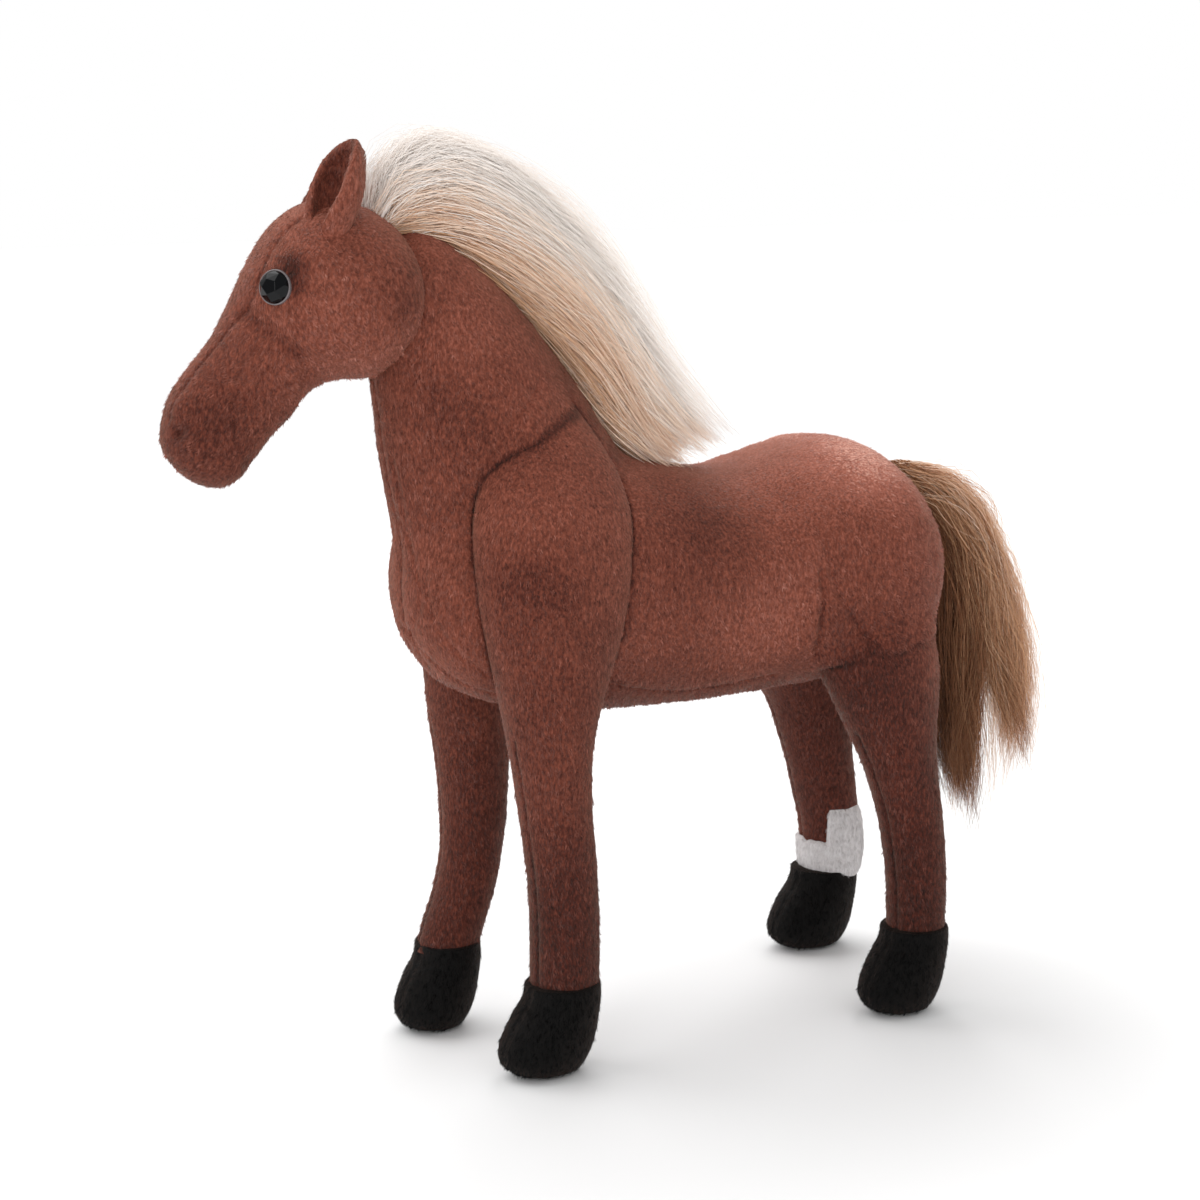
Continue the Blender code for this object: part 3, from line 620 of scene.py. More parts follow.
    dressed = add(tree, "GeometryNodeSetMaterial", {
        "Geometry": mapped.outputs[0], "Material": given["Fibre"]})
    add(tree, "NodeGroupOutput", {"Geometry": dressed.outputs[0]})
    return tree


short_pile = pile_tree()


def grown(holder, group, values):
    """The plain mesh that a group grows, without the attributes it worked with."""
    nodes = holder.modifiers.new("growth", "NODES")
    nodes.node_group = group
    for item in group.interface.items_tree:
        if item.in_out == "INPUT" and item.name in values:
            nodes[item.identifier] = values[item.name]
    settle(holder)
    attributes = holder.data.attributes
    for spare in (
            "nap", "shade", "cover", "girth", "guide tone", "stray", "luck", "tone", "across", "along"):
        if spare in attributes:
            attributes.remove(attributes[spare])
    return holder


def grow_pile(name, skin, fibre, seed, sizes=None, half=0):
    """The pile of one skin, or of its left (1) or right (-1) half, as a piece of its own."""
    holder = show(name, skin.data.copy())
    if half:
        cover = np.empty(len(holder.data.vertices))
        holder.data.attributes["cover"].data.foreach_get("value", cover)
        attribute(holder.data, "cover", cover * (coordinates(holder.data)[:, 0] * half > 0))
    holder.data.materials.clear()
    return grown(holder, short_pile, {"Seed": seed, "Fibre": fibre, **(sizes or {})})


def patches(points, base, spread, seed):
    """Uneven brushing: large soft patches that are a little lighter or darker."""
    wide = lumps(points, 0.045, seed)
    close = lumps(points, 0.014, seed + 1)
    return base + spread * wide + 0.4 * spread * close


def spots(points, places):
    """Patches where the pile lies the other way or is worn, and patches of painted light and shade: x, y, z,
    radius in mm and tone.
    """
    tone = np.zeros(len(points))
    for x, y, z, radius, change in places:
        away = np.linalg.norm(points - np.array((x, y, z)) * mm, axis=1)
        tone += change * np.exp(-(away / (radius * mm)) ** 2)
    return tone


def both_spots(places):
    """The patches given for the horse's left, and the same ones on its right."""
    return list(places) + [(-x, y, z, radius, change) for x, y, z, radius, change in places]


def swirls(points, size, seed):
    """Brushing that wanders: a smooth field of directions."""
    return np.stack([lumps(points, size, seed + axis) for axis in range(3)], axis=1)


# The bright rump top is painted light from above, the dark row by the crest painted shadow under the mane
body_spots = both_spots((
    (32, -101, 280, 13, -0.10), (26, -113, 295, 14, -0.10), (26, -99, 323, 14, 0.06),
    (18, -114, 228, 16, 0.05), (37, 7, 250, 32, -0.13), (54, 67, 191, 12, -0.08),
    (51, -25, 208, 18, -0.05), (51, 38, 202, 24, 0.05), (30, 95, 259, 26, 0.24),
    (57, 93, 197, 16, 0.02), (50, 78, 176, 14, -0.10), (54, 97, 180, 12, -0.06),
    (58, 98, 223, 18, 0.05), (17, -66, 330, 8, -0.12), (18, -55, 319, 8, -0.14),
    (19, -44, 305, 9, -0.16), (20, -33, 289, 9, -0.18), (21, -24, 272, 9, -0.12)))
body_points = coordinates(body.data)
rump = step_between(0.02, 0.12, body_points[:, 1])
front = step_between(-0.09, -0.12, body_points[:, 1])
body_nap = np.stack((0 * rump, 0.30 + 0.45 * rump - 0.3 * front, -0.95 + 0.25 * rump), axis=1)
body_nap += 0.5 * swirls(body_points, 0.022, 90)
body_shade = patches(body_points, 0.44, 0.09, 3) + spots(body_points, body_spots)
# Painted light where the pile looks up, painted shade under the belly, and painted shade in the seams and
# along the haunch seams
body_shade += 0.16 * step_between(0.3, 1.0, normals(body.data)[:, 2])
body_shade -= 0.16 * step_between(0.19, 0.15, body_points[:, 2])
seam_painted_shade = 0.26 - 0.18 * step_between(0.25, 0.275, body_points[:, 2])
body_shade -= seam_painted_shade * seam_line(body_points, body_seams, 0.8)
body_shade -= 0.10 * seam_line(body_points, haunch_lines, 1.3)
body_cover = np.where(seam_distance(body_points, body_seams) < 0.5 * mm, 0.15, 1.0)
attribute(body.data, "nap", body_nap)

# Shoulders and legs
# Each foreleg is one panel with its drop-shaped shoulder, sewn flat to the side of the trunk, and
# each hind leg is let into the haunch. They are stuffed hard, and bend a little where they join.
fore_left_rows = (
    (-66, 300, -54, 299, 3, 12),
    (-82, 288, -44, 286, 11, 19),
    (-95, 268, -34.5, 267, 17, 28),
    (-101, 248, -28.5, 247, 20, 34),
    (-102.5, 228, -27.5, 228, 21.5, 36.5),
    (-100.5, 207, -30.5, 207, 22, 37.5),
    (-96.5, 187, -36.5, 187, 21.5, 38),
    (-91.5, 168, -43.5, 168, 20.5, 38),
    (-87.5, 150, -48.5, 150, 19, 38),
    (-84.2, 130, -49.7, 130, 17.6, 38),
    (-81.5, 112, -49.2, 112, 16.3, 38),
    (-78.5, 90, -47, 90, 15.4, 38),
    (-77, 66, -46, 66, 15.2, 38),
    (-77, 48, -46, 48, 15.2, 38),
    (-77, 36, -46.5, 36, 15, 38),
)
fore_right_rows = (
    (-66, 300, -54, 299, 3, -12),
    (-82, 288, -44, 286, 11, -19),
    (-95, 268, -34.5, 267, 17, -28),
    (-101, 248, -28.5, 247, 20, -34),
    (-101.5, 228, -27.5, 228, 21.5, -36.5),
    (-97.5, 207, -30.5, 207, 22, -37),
    (-94.5, 187, -37, 187, 21.5, -37),
    (-90.5, 168, -44.5, 168, 20, -37),
    (-88.7, 147, -51, 147, 18.2, -37),
    (-86.1, 128, -50.7, 128, 17.2, -37),
    (-83.1, 100, -51.9, 100, 15.6, -37),
    (-84, 81, -54.5, 81, 14.8, -37),
    (-87.6, 63, -58.5, 63, 14.4, -37),
    (-93, 48, -63.5, 48, 14.2, -37),
    (-97, 36, -67.5, 36, 14, -37),
)
hind_left_rows = (
    (84, 204, 108, 204, 5, 33),
    (74, 194, 122, 194, 15, 34.5),
    (68, 181, 129, 181, 20.5, 37),
    (69.5, 166, 131, 166, 22, 39.5),
    (76, 150, 130.5, 150, 20.5, 41.5),
    (85, 133, 128.5, 133, 18.6, 43.5),
    (92.5, 115, 128, 115, 16.6, 45.5),
    (98.5, 95, 130, 95, 15.2, 47.3),
    (102, 76, 131.5, 76, 14.5, 48.5),
    (104, 56, 132, 56, 14, 49.2),
    (104.2, 36, 131.5, 36, 13.8, 49.4),
)
hind_right_rows = (
    (84, 204, 108, 204, 5, -33),
    (74, 194, 122, 194, 15, -34.5),
    (68, 181, 128, 181, 20.5, -37),
    (71, 167, 131, 167, 22, -40),
    (83, 150, 137, 150, 20.5, -43),
    (97.5, 131, 141.5, 131, 18.8, -46),
    (107, 111, 145, 111, 17.2, -48),
    (114, 90, 148.5, 90, 15.8, -49.3),
    (120, 68, 152, 68, 15, -50),
    (123, 50, 153, 50, 14.6, -50.4),
    (123.5, 36, 152.5, 36, 14.4, -50.4),
)
leg_rows = {
    "fore_left": fore_left_rows, "fore_right": fore_right_rows,
    "hind_left": hind_left_rows, "hind_right": hind_right_rows}
legs = {}
leg_seams = {}
shank_top = {"fore": 160, "hind": 150}
for number, (name, rows) in enumerate(leg_rows.items()):
    pair, hand = name.split("_")
    leg = show(f"leg_{name}_skin", sewn_form(rows, 96, 40))
    shank = [row for row in rows if row[1] < shank_top[pair]]
    front_seam = [(row[5] + (3 if hand == "left" else -3), row[0], row[1]) for row in shank]
    back_seam = [(row[5], row[2], row[3]) for row in shank]
    lines = [front_seam, back_seam]
    stuff(leg, laid_seams(lines, leg.data), cap=1.2 * mm)
    refine(leg)
    seams = laid_seams(lines, leg.data)
    joint = np.abs(depth_in(coordinates(leg.data), body.data)) < 3 * mm
    crisp(leg.data, joint | (seam_distance(coordinates(leg.data), seams) < 3 * mm))
    draw_in(leg.data, seams, 0.5, 2.2, 0.15, 6)
    draw_in(leg.data, seams, 0.6, 0.8)
    swell(leg.data, (0.45, 0.024, 10 + number), (0.25, 0.009, 20 + number))
    legs[name] = leg
    leg_seams[name] = seams


def crease_share(points):
    """How much of the painted shade in the haunch's crease lies here: it runs back from the groin and fades.
    """
    height = np.interp(points[:, 1] / mm, (66, 85, 100, 114), (166.5, 167.5, 171, 175))
    fade = step_between(0.118, 0.098, points[:, 1])
    return np.exp(-((points[:, 2] / mm - height) / 2.5) ** 2) * fade


# The legs' tones sit below the trunk's, and lower still towards the ankles: painted shade under the body
leg_shades = {"fore_left": 0.32, "fore_right": 0.30, "hind_left": 0.23, "hind_right": 0.27}
ankle_shades = {"fore_left": 0.19, "fore_right": 0.10, "hind_left": 0.05, "hind_right": 0.05}
leg_spots = both_spots((
    (50, -96, 222, 10, -0.06), (55, -85, 223, 12, -0.06), (58, -72, 218, 13, -0.06),
    (41, -85, 276, 13, -0.07), (50, -60, 250, 18, 0.04))) + both_spots(((56, 122, 168, 15, 0.12),))
# No pile grows where a leg and the trunk lie deeper in each other than this
sunk = {"fore": -0.3 * mm, "hind": 0.8 * mm}
cloth_end = 39 * mm
for number, (name, leg) in enumerate(legs.items()):
    pair, hand = name.split("_")
    points = coordinates(leg.data)
    nap = np.zeros_like(points)
    nap[:, 2] = -1
    nap[:, 1] = 0.12
    nap += 0.4 * swirls(points, 0.018, 95)
    shade = patches(points, leg_shades[name], 0.07, 30 + number) + spots(points, leg_spots)
    # Painted light on the forelegs' shoulders, and painted shade towards the ankles
    if pair == "fore":
        shade += 0.12 * step_between(0.15, 0.24, points[:, 2])
    shade -= ankle_shades[name] * step_between(0.13, 0.05, points[:, 2])
    depth = depth_in(points, body.data)
    seam = seam_distance(points, leg_seams[name])
    tucked = crease_share(points) if pair == "hind" else 1.0
    # Painted shade in the leg's seams and where it meets the trunk
    shade -= 0.30 * np.exp(-(seam / (0.8 * mm)) ** 2)
    shade -= 0.30 * tucked * np.exp(-(depth / (0.8 * mm)) ** 2)
    cover = np.where(depth > sunk[pair], 0.0, 1.0)
    cover[seam < 0.45 * mm] = 0.2
    cover[points[:, 2] < cloth_end] = 0
    attribute(leg.data, "nap", nap)
    attribute(leg.data, "shade", shade)
    attribute(leg.data, "cover", cover)
    # Painted shade on the trunk where each leg meets it
    depth = depth_in(body_points, leg.data)
    tucked = crease_share(body_points) if pair == "hind" else 1.0
    body_shade -= 0.28 * tucked * np.exp(-(depth / (0.8 * mm)) ** 2)
    body_cover[depth > sunk[pair]] = 0
attribute(body.data, "shade", body_shade)
attribute(body.data, "cover", body_cover)

body.data.materials.append(chestnut_plush)
body_pieces = [body]
for label, half in (("left", 1), ("right", -1)):
    body_pieces.append(grow_pile(f"body_pile_{label}", body, chestnut_fibre, 5, half=half))
for piece in body_pieces:
    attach(piece, "trunk")
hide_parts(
    "trunk_panel_left", "trunk_panel_right", "belly_gusset", "trunk_stuffing",
    "neck_panel_left", "neck_panel_right", "neck_stuffing")

# A leg bends between two places on its middle line, above and below the hinge
hinge_row = {"fore": 7, "hind": 3}
hinge_height = 0.167
bend_above = 0.012
bend_below = 0.016
for number, (name, leg) in enumerate(legs.items()):
    pair, hand = name.split("_")
    leg.data.materials.append(chestnut_plush)
    pile = grow_pile(f"leg_{name}_pile", leg, chestnut_fibre, 50 + number)
    middle = leg_rows[name][hinge_row[pair]]
    hinge = Vector((middle[5], (middle[0] + middle[2]) / 2, 0)) * mm
    above = hinge + Vector((0, 0, hinge_height + bend_above))
    below = hinge + Vector((0, 0, hinge_height - bend_below))
    for piece in (leg, pile):
        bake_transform(piece, "trunk", f"leg_{name}", start=above, end=below)
    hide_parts(f"leg_skin_{name}", f"leg_stuffing_{name}")
    if pair == "fore":
        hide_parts(f"shoulder_skin_{hand}", f"shoulder_stuffing_{hand}")

# Sock
# White plush let into the right hind leg above the hoof. A tongue of the leg's chestnut cloth
# runs down over it at the front.
white_stops = ((0.1, "#aca6a6"), (0.5, "#d0cccc"), (0.9, "#ebe9e9"))
white_plush = knitted_plush("brushed white plush", white_stops, nap_grain, 0.1)
white_fibre = brushed_fibre("brushed white fibre", white_stops, 0.05)
sock_rows = (
    (124.5, 36, 151.5, 36, 14.5, -50.4),
    (122.5, 40, 153.5, 40, 15.8, -50.4),
    (121.5, 50, 155, 50, 16.8, -50.4),
    (120, 61, 154, 61, 16.8, -50.2),
    (118.5, 68.5, 152.5, 68.5, 16.2, -50.1),
    (119, 73, 150.5, 73, 14.8, -50),
)
sock_middle = np.array((-50.3, 137)) * mm
tongue_sink = 0.22
tongue_tip = 54.5 * mm
sock = show("sock_skin", sewn_form(sock_rows, 44, 72))
refine(sock)
sock_points = coordinates(sock.data)
sock_reach = sock_points[:, :2] - sock_middle
sock_angle = np.arctan2(sock_reach[:, 0], -sock_reach[:, 1])
ragged = 2 * mm * np.array([noise.noise(Vector((angle * 4, 0, 3))) for angle in sock_angle])
# Where the chestnut tongue lies over the sock, the sock is sunk and bare
tongue = step_between(1.05, 0.85, np.abs(sock_angle + 0.02))
tongue = tongue * step_between(tongue_tip, tongue_tip + 2.5 * mm, sock_points[:, 2] + ragged)
sock_points[:, :2] -= sock_reach * (tongue_sink * tongue)[:, None]
sock_points += normals(sock.data) * (0.35 * mm * lumps(sock_points, 0.011, 41))[:, None]
put(sock.data, sock_points)
sock_nap = np.zeros_like(sock_points)
sock_nap[:, 2] = -1
sock_bare = (tongue > 0.5) | (sock_points[:, 2] < 38 * mm) | (sock_points[:, 2] > 72.4 * mm)
attribute(sock.data, "nap", sock_nap)
attribute(sock.data, "shade", patches(sock_points, 0.5, 0.1, 42))
attribute(sock.data, "cover", np.where(sock_bare, 0.0, 1.0))
sock.data.materials.append(white_plush)
sock_pile = grow_pile("sock_pile", sock, white_fibre, 43, {
    "Tuft length": 1.8 * mm, "Tuft width": 0.4 * mm, "Lift": 0.5 * mm})
for piece in (sock, sock_pile):
    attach(piece, "leg_hind_right")
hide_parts("sock_hind_right")

# Hooves
# Black plush caps, sewn on below the leg and stuffed round, so the toe is wider than the top.
# Each rests on the small flat of its sole.
black_stops = ((0.1, "#010101"), (0.5, "#050505"), (0.9, "#131212"))
black_plush = knitted_plush("brushed black plush", black_stops, nap_grain, 0.1)
black_fibre = brushed_fibre("brushed black fibre", black_stops, 0.02, 0.15)
# Each row is height, then the share of the toe's and the heel's reach, and the half width
hoof_rows = (
    (41.0, 0.59, 0.98, 15.6),
    (34.0, 0.62, 1.00, 16.2),
    (25.0, 0.83, 0.94, 16.8),
    (15.0, 1.00, 0.82, 16.8),
    (8.0, 1.00, 0.64, 15.6),
    (3.0, 0.84, 0.44, 12.4),
    (0.6, 0.60, 0.24, 8.0),
    (0.2, 0.25, 0.10, 3.0),
)
# Each hoof stands at x and y, and reaches this far forward at the toe and back at the heel
hoof_places = {
    "fore_left": (38.4, -61.5, 31.0, 16.0),
    "fore_right": (-37.2, -81.0, 25.5, 15.0),
    "hind_left": (49.2, 118.5, 29.0, 15.0),
    "hind_right": (-50.4, 137.2, 33.0, 14.5),
}
for number, (name, (hoof_x, hoof_y, toe, heel)) in enumerate(hoof_places.items()):
    rows = [(hoof_y - toe * a, z, hoof_y + heel * b, z, half, hoof_x) for z, a, b, half in hoof_rows]
    hoof = show(f"hoof_{name}_skin", sewn_form(rows, 40, 36))
    seam = [(hoof_x + 2, row[0], row[1]) for row in rows[:6]]
    stuff(hoof, laid_seams([seam], hoof.data), cap=0.6 * mm)
    refine(hoof)
    draw_in(hoof.data, laid_seams([seam], hoof.data), 0.5, 1.3, 0.1, 5)
    points = coordinates(hoof.data)
    points[:, 2] = np.maximum(points[:, 2] + 0.3 * mm * lumps(points, 0.010, 60 + number), 0.0)
    put(hoof.data, points)
    nap = np.zeros_like(points)
    nap[:, 1] = -0.5
    nap[:, 2] = -0.8
    attribute(hoof.data, "nap", nap)
    attribute(hoof.data, "shade", patches(points, 0.45, 0.15, 64 + number))
    attribute(hoof.data, "cover", np.where(points[:, 2] < 1.5 * mm, 0.0, 1.0))
    hoof.data.materials.append(black_plush)
    pile = grow_pile(f"hoof_{name}_pile", hoof, black_fibre, 70 + number, {
        "Tuft length": 1.6 * mm, "Tuft width": 0.4 * mm, "Lift": 0.5 * mm})
    for piece in (hoof, pile):
        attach(piece, f"leg_{name}")
    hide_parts(f"hoof_{name}")

# Head
# Two cheek panels with a long gusset down the face, stuffed hard and sewn on over the neck, so
# the round back of the cheek laps the neck. A pull of thread sinks each eye.
head_pivot = Vector((0, -141.52, 336.12)) * mm
head_rest_turn = math.radians(-14)
# Each row is forward and up for the top, forward and up for the underside, then the half width
head_rows = (
    (-31, 5, -31, -5, 7),
    (-28.5, 16, -28, -15, 19),
    (-21, 28, -20.5, -25, 26.5),
    (-9, 36.5, -10, -32, 31),
    (5, 40, 1, -33, 32.5),
    (18, 39, 10, -34, 32),
    (29.5, 32, 19, -39.5, 29.5),
    (38.5, 20.5, 25, -48, 26),
    (46.5, 5, 31, -54, 22.5),
    (54, -10, 36.5, -60.5, 19.8),
    (61, -20, 41, -66.5, 18.2),
    (68, -29, 46, -72.5, 17.6),
    (74, -38, 53, -76, 17.0),
    (77.5, -48, 60, -75.5, 15.4),
    (78.5, -56, 67, -72.5, 12.0),
    (77, -62, 72, -68.5, 5.0),
)
head = show("head_skin", sewn_form([(-a, b, -c, d, e) for a, b, c, d, e in head_rows], 100, 48))
face_edge = [
    (15, -2, 38), (15, -20, 36), (15, -31, 25), (15.5, -38, 12), (15, -43, 0), (10.5, -52, -11),
    (7.5, -63, -25), (8, -72, -38), (8, -75, -47)]
chin_line = [(0, 8, -36), (0, -10, -38), (0, -25, -48), (0, -36, -60), (0, -46, -73)]
cheek_crease = ((15, -45, -3), (22, -39, -9), (27, -29, -16), (26, -23, -22), (22, -19, -28))
# Places pressed in, or raised by a minus sign: x, y, z, radius, depth and stretch
face_dents = (
    (25, -33, 6.5, 9, 1.0, (1, 1, 1)),
    (26, -24, 17, 9, -1.6, (1, 1.4, 0.8)),
    (24, -38, -8, 11, 1.5, (1, 1, 1.6)),
    (28, -8, -12, 18, -1.2, (1, 1, 1)),
    (12, -72, -40, 5.5, -2.2, (1, 1, 1)),
    (14, -72, -51, 3.2, 2.6, (1, 1, 1)),
    (16, -68, -56, 5, -1.6, (1, 1, 1)),
    (9, -43, -66, 4, 1.4, (1.4, 0.6, 1)),
)
head_lines = both_sides([face_edge]) + [chin_line]
stuff(head, laid_seams(head_lines, head.data), cap=1.2 * mm)
refine(head)
head_seams = laid_seams(head_lines, head.data)
crisp(head.data, seam_distance(coordinates(head.data), head_seams) < 3 * mm)
for side in (1, -1):
    for x, y, z, radius, depth, stretch in face_dents:
        dent(head.data, (side * x, y, z), radius, depth, stretch)
    crease = [(side * x, y, z) for x, y, z in cheek_crease]
    draw_in(head.data, laid_seams([crease], head.data), 1.9, 4.2)
head_seams = laid_seams(head_lines, head.data)
draw_in(head.data, head_seams, 0.4, 2.0, 0.12, 6)
draw_in(head.data, head_seams, 0.5, 0.7)
swell(head.data, (0.4, 0.020, 80), (0.2, 0.008, 81))
head_points = coordinates(head.data)
head_nap = np.zeros_like(head_points)
muzzle = step_between(-0.02, -0.05, head_points[:, 1])
head_nap[:, 1] = 0.35 - 0.8 * muzzle
head_nap[:, 2] = -0.8 + 0.2 * muzzle
head_nap += 0.5 * swirls(head_points, 0.016, 97)
head_spots = both_spots((
    (27, 19, -3, 9, -0.10), (23, 22, 12, 7, -0.06), (25, -27, 16, 6, -0.34), (29, -27, 8, 5, -0.30),
    (14, -72, -51, 3.2, -0.26), (12, -72, -38, 8, -0.02), (17, -58, -46, 14, -0.08),
    (15, -51, -19, 14, -0.05), (30, -8, 4, 16, 0.03), (20, -26, 25, 8, 0.04), (9, -43, -66, 4, -0.12)))
head_shade = patches(head_points, 0.455, 0.08, 82) + spots(head_points, head_spots)
# Painted shade under the jaw, painted light where the pile looks up, and painted shade in the cheek creases
# and the seams
head_shade -= 0.10 * step_between(-0.02, -0.055, head_points[:, 2])
head_shade += 0.12 * step_between(0.3, 1.0, normals(head.data)[:, 2])
for side in (1, -1):
    crease = [(side * x, y, z) for x, y, z in cheek_crease[:4]]
    head_shade -= 0.10 * seam_line(head_points, laid_seams([crease], head.data), 2.5)
head_shade -= 0.30 * seam_line(head_points, head_seams, 0.8)
attribute(head.data, "shade", head_shade)
head_turn = Matrix.Translation(head_pivot) @ Matrix.Rotation(head_rest_turn, 4, "Z")
head.data.transform(head_turn)
turned_nap = head_nap @ np.array(Matrix.Rotation(head_rest_turn, 3, "Z")).T
attribute(head.data, "nap", turned_nap)
head_cover = np.where(depth_in(coordinates(head.data), body.data) > 0, 0.0, 1.0)
attribute(head.data, "cover", head_cover)
head.data.materials.append(chestnut_plush)
head_pile = grow_pile("head_pile", head, chestnut_fibre, 90, {
    "Spacing": 0.58 * mm, "Tuft length": 1.6 * mm})
for piece in (head, head_pile):
    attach(piece, "head")
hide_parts("head_panel_left", "head_panel_right", "face_gusset", "head_stuffing")

# Eyes
# Glossy black domes moulded in plastic, pushed through the cloth and locked by washers behind
# it. The thin clear rim round each dome shows as a grey line, and is drawn in grey plastic whose colour is
# painted reflection.


def plastic(name, colour, surface):
    """Moulded plastic of one even colour."""
    material = bare_material(name)
    tree = material.node_tree
    shader = add(tree, "ShaderNodeBsdfPrincipled", {"Base Color": linear(colour), **surface})
    add(tree, "ShaderNodeOutputMaterial", {"Surface": shader.outputs[0]})
    return material


black_plastic = plastic("glossy black plastic", "#08090b", {"Roughness": 0.14, "IOR": 1.3})
# The rim's grey is painted reflection standing in for the clear plastic
rim_painted_reflection = plastic("clear rim as painted reflection", "#6e6667", {"Roughness": 0.22, "IOR": 1.5})
# Radius and height of the rim's outline
rim_profile = ((6.4, 0.3), (6.6, 0.75), (6.95, 0.7), (7.2, 0.2), (7.2, -1.6), (6.4, -2.2))


def ring(profile, segments):
    """A closed profile of radius and height, turned about Z."""
    dense = through(list(profile) + [profile[0]], 8 * len(profile))[:-1]
    points = []
    faces = []
    for radius, height in dense:
        for turn in range(segments):
            angle = 2 * math.pi * turn / segments
            points.append((radius * math.cos(angle) * mm, radius * math.sin(angle) * mm, height * mm))
    count = len(dense)
    for low in range(count):
        for turn in range(segments):
            after = (turn + 1) % segments
            here = low * segments
            above = (low + 1) % count * segments
            faces.append((here + turn, here + after, above + after, above + turn))
    mesh = bpy.data.meshes.new("ring")
    mesh.from_pydata(points, [], faces)
    face_out(mesh)
    for face in mesh.polygons:
        face.use_smooth = True
    return mesh


def faceted_dome(levels):
    """A dome in a few broad facets with softened edges: each level is sides, radius, height, turn."""
    bm = bmesh.new()
    for sides, radius, height, turn in levels:
        for number in range(sides):
            angle = 2 * math.pi * (number + turn) / sides
            bm.verts.new((radius * math.cos(angle) * mm, radius * math.sin(angle) * mm, height * mm))
    bmesh.ops.convex_hull(bm, input=bm.verts)
    bmesh.ops.dissolve_limit(bm, angle_limit=math.radians(3), verts=bm.verts, edges=bm.edges)
    bmesh.ops.bevel(bm, geom=bm.edges, offset=0.22 * mm, segments=3, affect="EDGES", profile=0.6)
    bmesh.ops.recalc_face_normals(bm, faces=bm.faces)
    mesh = bpy.data.meshes.new("dome")
    bm.to_mesh(mesh)
    bm.free()
    for face in mesh.polygons:
        face.use_smooth = face.area < 0.8e-6
    return mesh


dome_levels = (
    (24, 5.6, -3.4, 0), (24, 6.7, -0.8, 0), (24, 6.8, 0.4, 0), (7, 6.0, 2.6, 0.2), (5, 3.3, 5.0, 0.55))
eye_middle = (22.35, -33, 6.8)
eye_facing = (0.78, -0.62, 0.12)
for side, name in ((1, "left"), (-1, "right")):
    x, y, z = eye_facing
    turned = Vector((side * x, y, z)).normalized().to_track_quat("Z", "Y").to_matrix().to_4x4()
    x, y, z = eye_middle
    place = Matrix.Translation(Vector((side * x, y, z)) * mm) @ turned
    for label, form, material in (
            ("eye", faceted_dome(dome_levels), black_plastic),
            ("eye_rim", ring(rim_profile, 64), rim_painted_reflection)):
        piece = show(f"{label}_{name}_form", form)
        piece.data.transform(head_turn @ place)
        piece.data.materials.append(material)
        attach(piece, "head")
        if label == "eye":
            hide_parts(f"eye_{name}")

# Ears
# Two layers of plush sewn round the edge and turned, then pinched at the base so that the leaf
# cups forward. The rims stay thick where the seam is rolled inside.
# Each row is height, the middle's y, the radius of the cup and the angle it wraps to each side
ear_rows = (
    (26, -9.6, 4.6, 160),
    (30, -10, 6.8, 150),
    (34, -9.8, 8.6, 138),
    (40, -8.9, 10.2, 120),
    (47, -8, 10.8, 106),
    (53, -7, 10, 97),
    (58, -5.4, 8, 88),
    (61.5, -3.4, 5.2, 80),
    (63.3, -1.6, 2.5, 70),
    (64, -0.8, 0.8, 60),
)
ear_x = 18.5
ear_turn = math.radians(25)
ear_rings = 33
ear_columns = 25
# The right ear lies back about its base
ear_base = Vector((0, -10, 27)) * mm
lay_back = Matrix.Rotation(math.radians(-15), 4, "X")
for side, name in ((1, "left"), (-1, "right")):
    ahead = Vector((side * math.sin(ear_turn), -math.cos(ear_turn), 0))
    outward = Vector((math.cos(ear_turn), side * math.sin(ear_turn), 0))
    grid = []
    for height, middle_y, radius, wrap in through(ear_rows, ear_rings):
        for across in np.linspace(-1, 1, ear_columns):
            angle = math.radians(wrap) * across
            reach = math.sin(angle) * outward - math.cos(angle) * ahead
            grid.append(Vector((side * ear_x, middle_y, height)) + float(radius) * reach)
    faces = []
    for row in range(ear_rings - 1):
        for column in range(ear_columns - 1):
            start = row * ear_columns + column
            faces.append((start, start + 1, start + ear_columns + 1, start + ear_columns))
    mesh = bpy.data.meshes.new("leaf")
    mesh.from_pydata([point * mm for point in grid], [], faces)
    if side < 0:
        mesh.transform(Matrix.Translation(ear_base) @ lay_back @ Matrix.Translation(-ear_base))
    ear = show(f"ear_{name}_form", mesh)
    thick = ear.modifiers.new("two layers", "SOLIDIFY")
    thick.thickness = 3.6 * mm
    thick.offset = 0
    settle(ear)
    melt(ear, 0.9 * mm, 6)
    swell(ear.data, (0.35, 0.008, 100 + side))
    ear_points = coordinates(ear.data)
    nap = np.zeros_like(ear_points)
    nap[:, 2] = -1
    nap[:, 1] = -0.3
    heights = ear_points[:, 2] / mm
    middle_line = np.interp(heights, *zip(*[row[:2] for row in ear_rows]))
    middles = np.stack((np.full(len(ear_points), side * ear_x), middle_line, heights), axis=1)
    outwards = ear_points / mm - middles
    outwards /= np.linalg.norm(outwards, axis=1, keepdims=True)
    lining = (normals(ear.data) * outwards).sum(axis=1) < -0.2
    attribute(ear.data, "shade", patches(ear_points, 0.50, 0.08, 102) - np.where(lining, 0.14, 0.0))
    attribute(ear.data, "cover", np.where(ear_points[:, 2] < 29 * mm, 0.0, 1.0))
    ear.data.transform(head_turn)
    attribute(ear.data, "nap", nap)
    ear.data.materials.append(chestnut_plush)
    pile = grow_pile(f"ear_{name}_pile", ear, chestnut_fibre, 104 + side, {
        "Spacing": 0.6 * mm, "Tuft length": 1.4 * mm})
    for piece in (ear, pile):
        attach(piece, f"ear_{name}")
    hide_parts(f"ear_{name}", f"ear_lining_{name}")

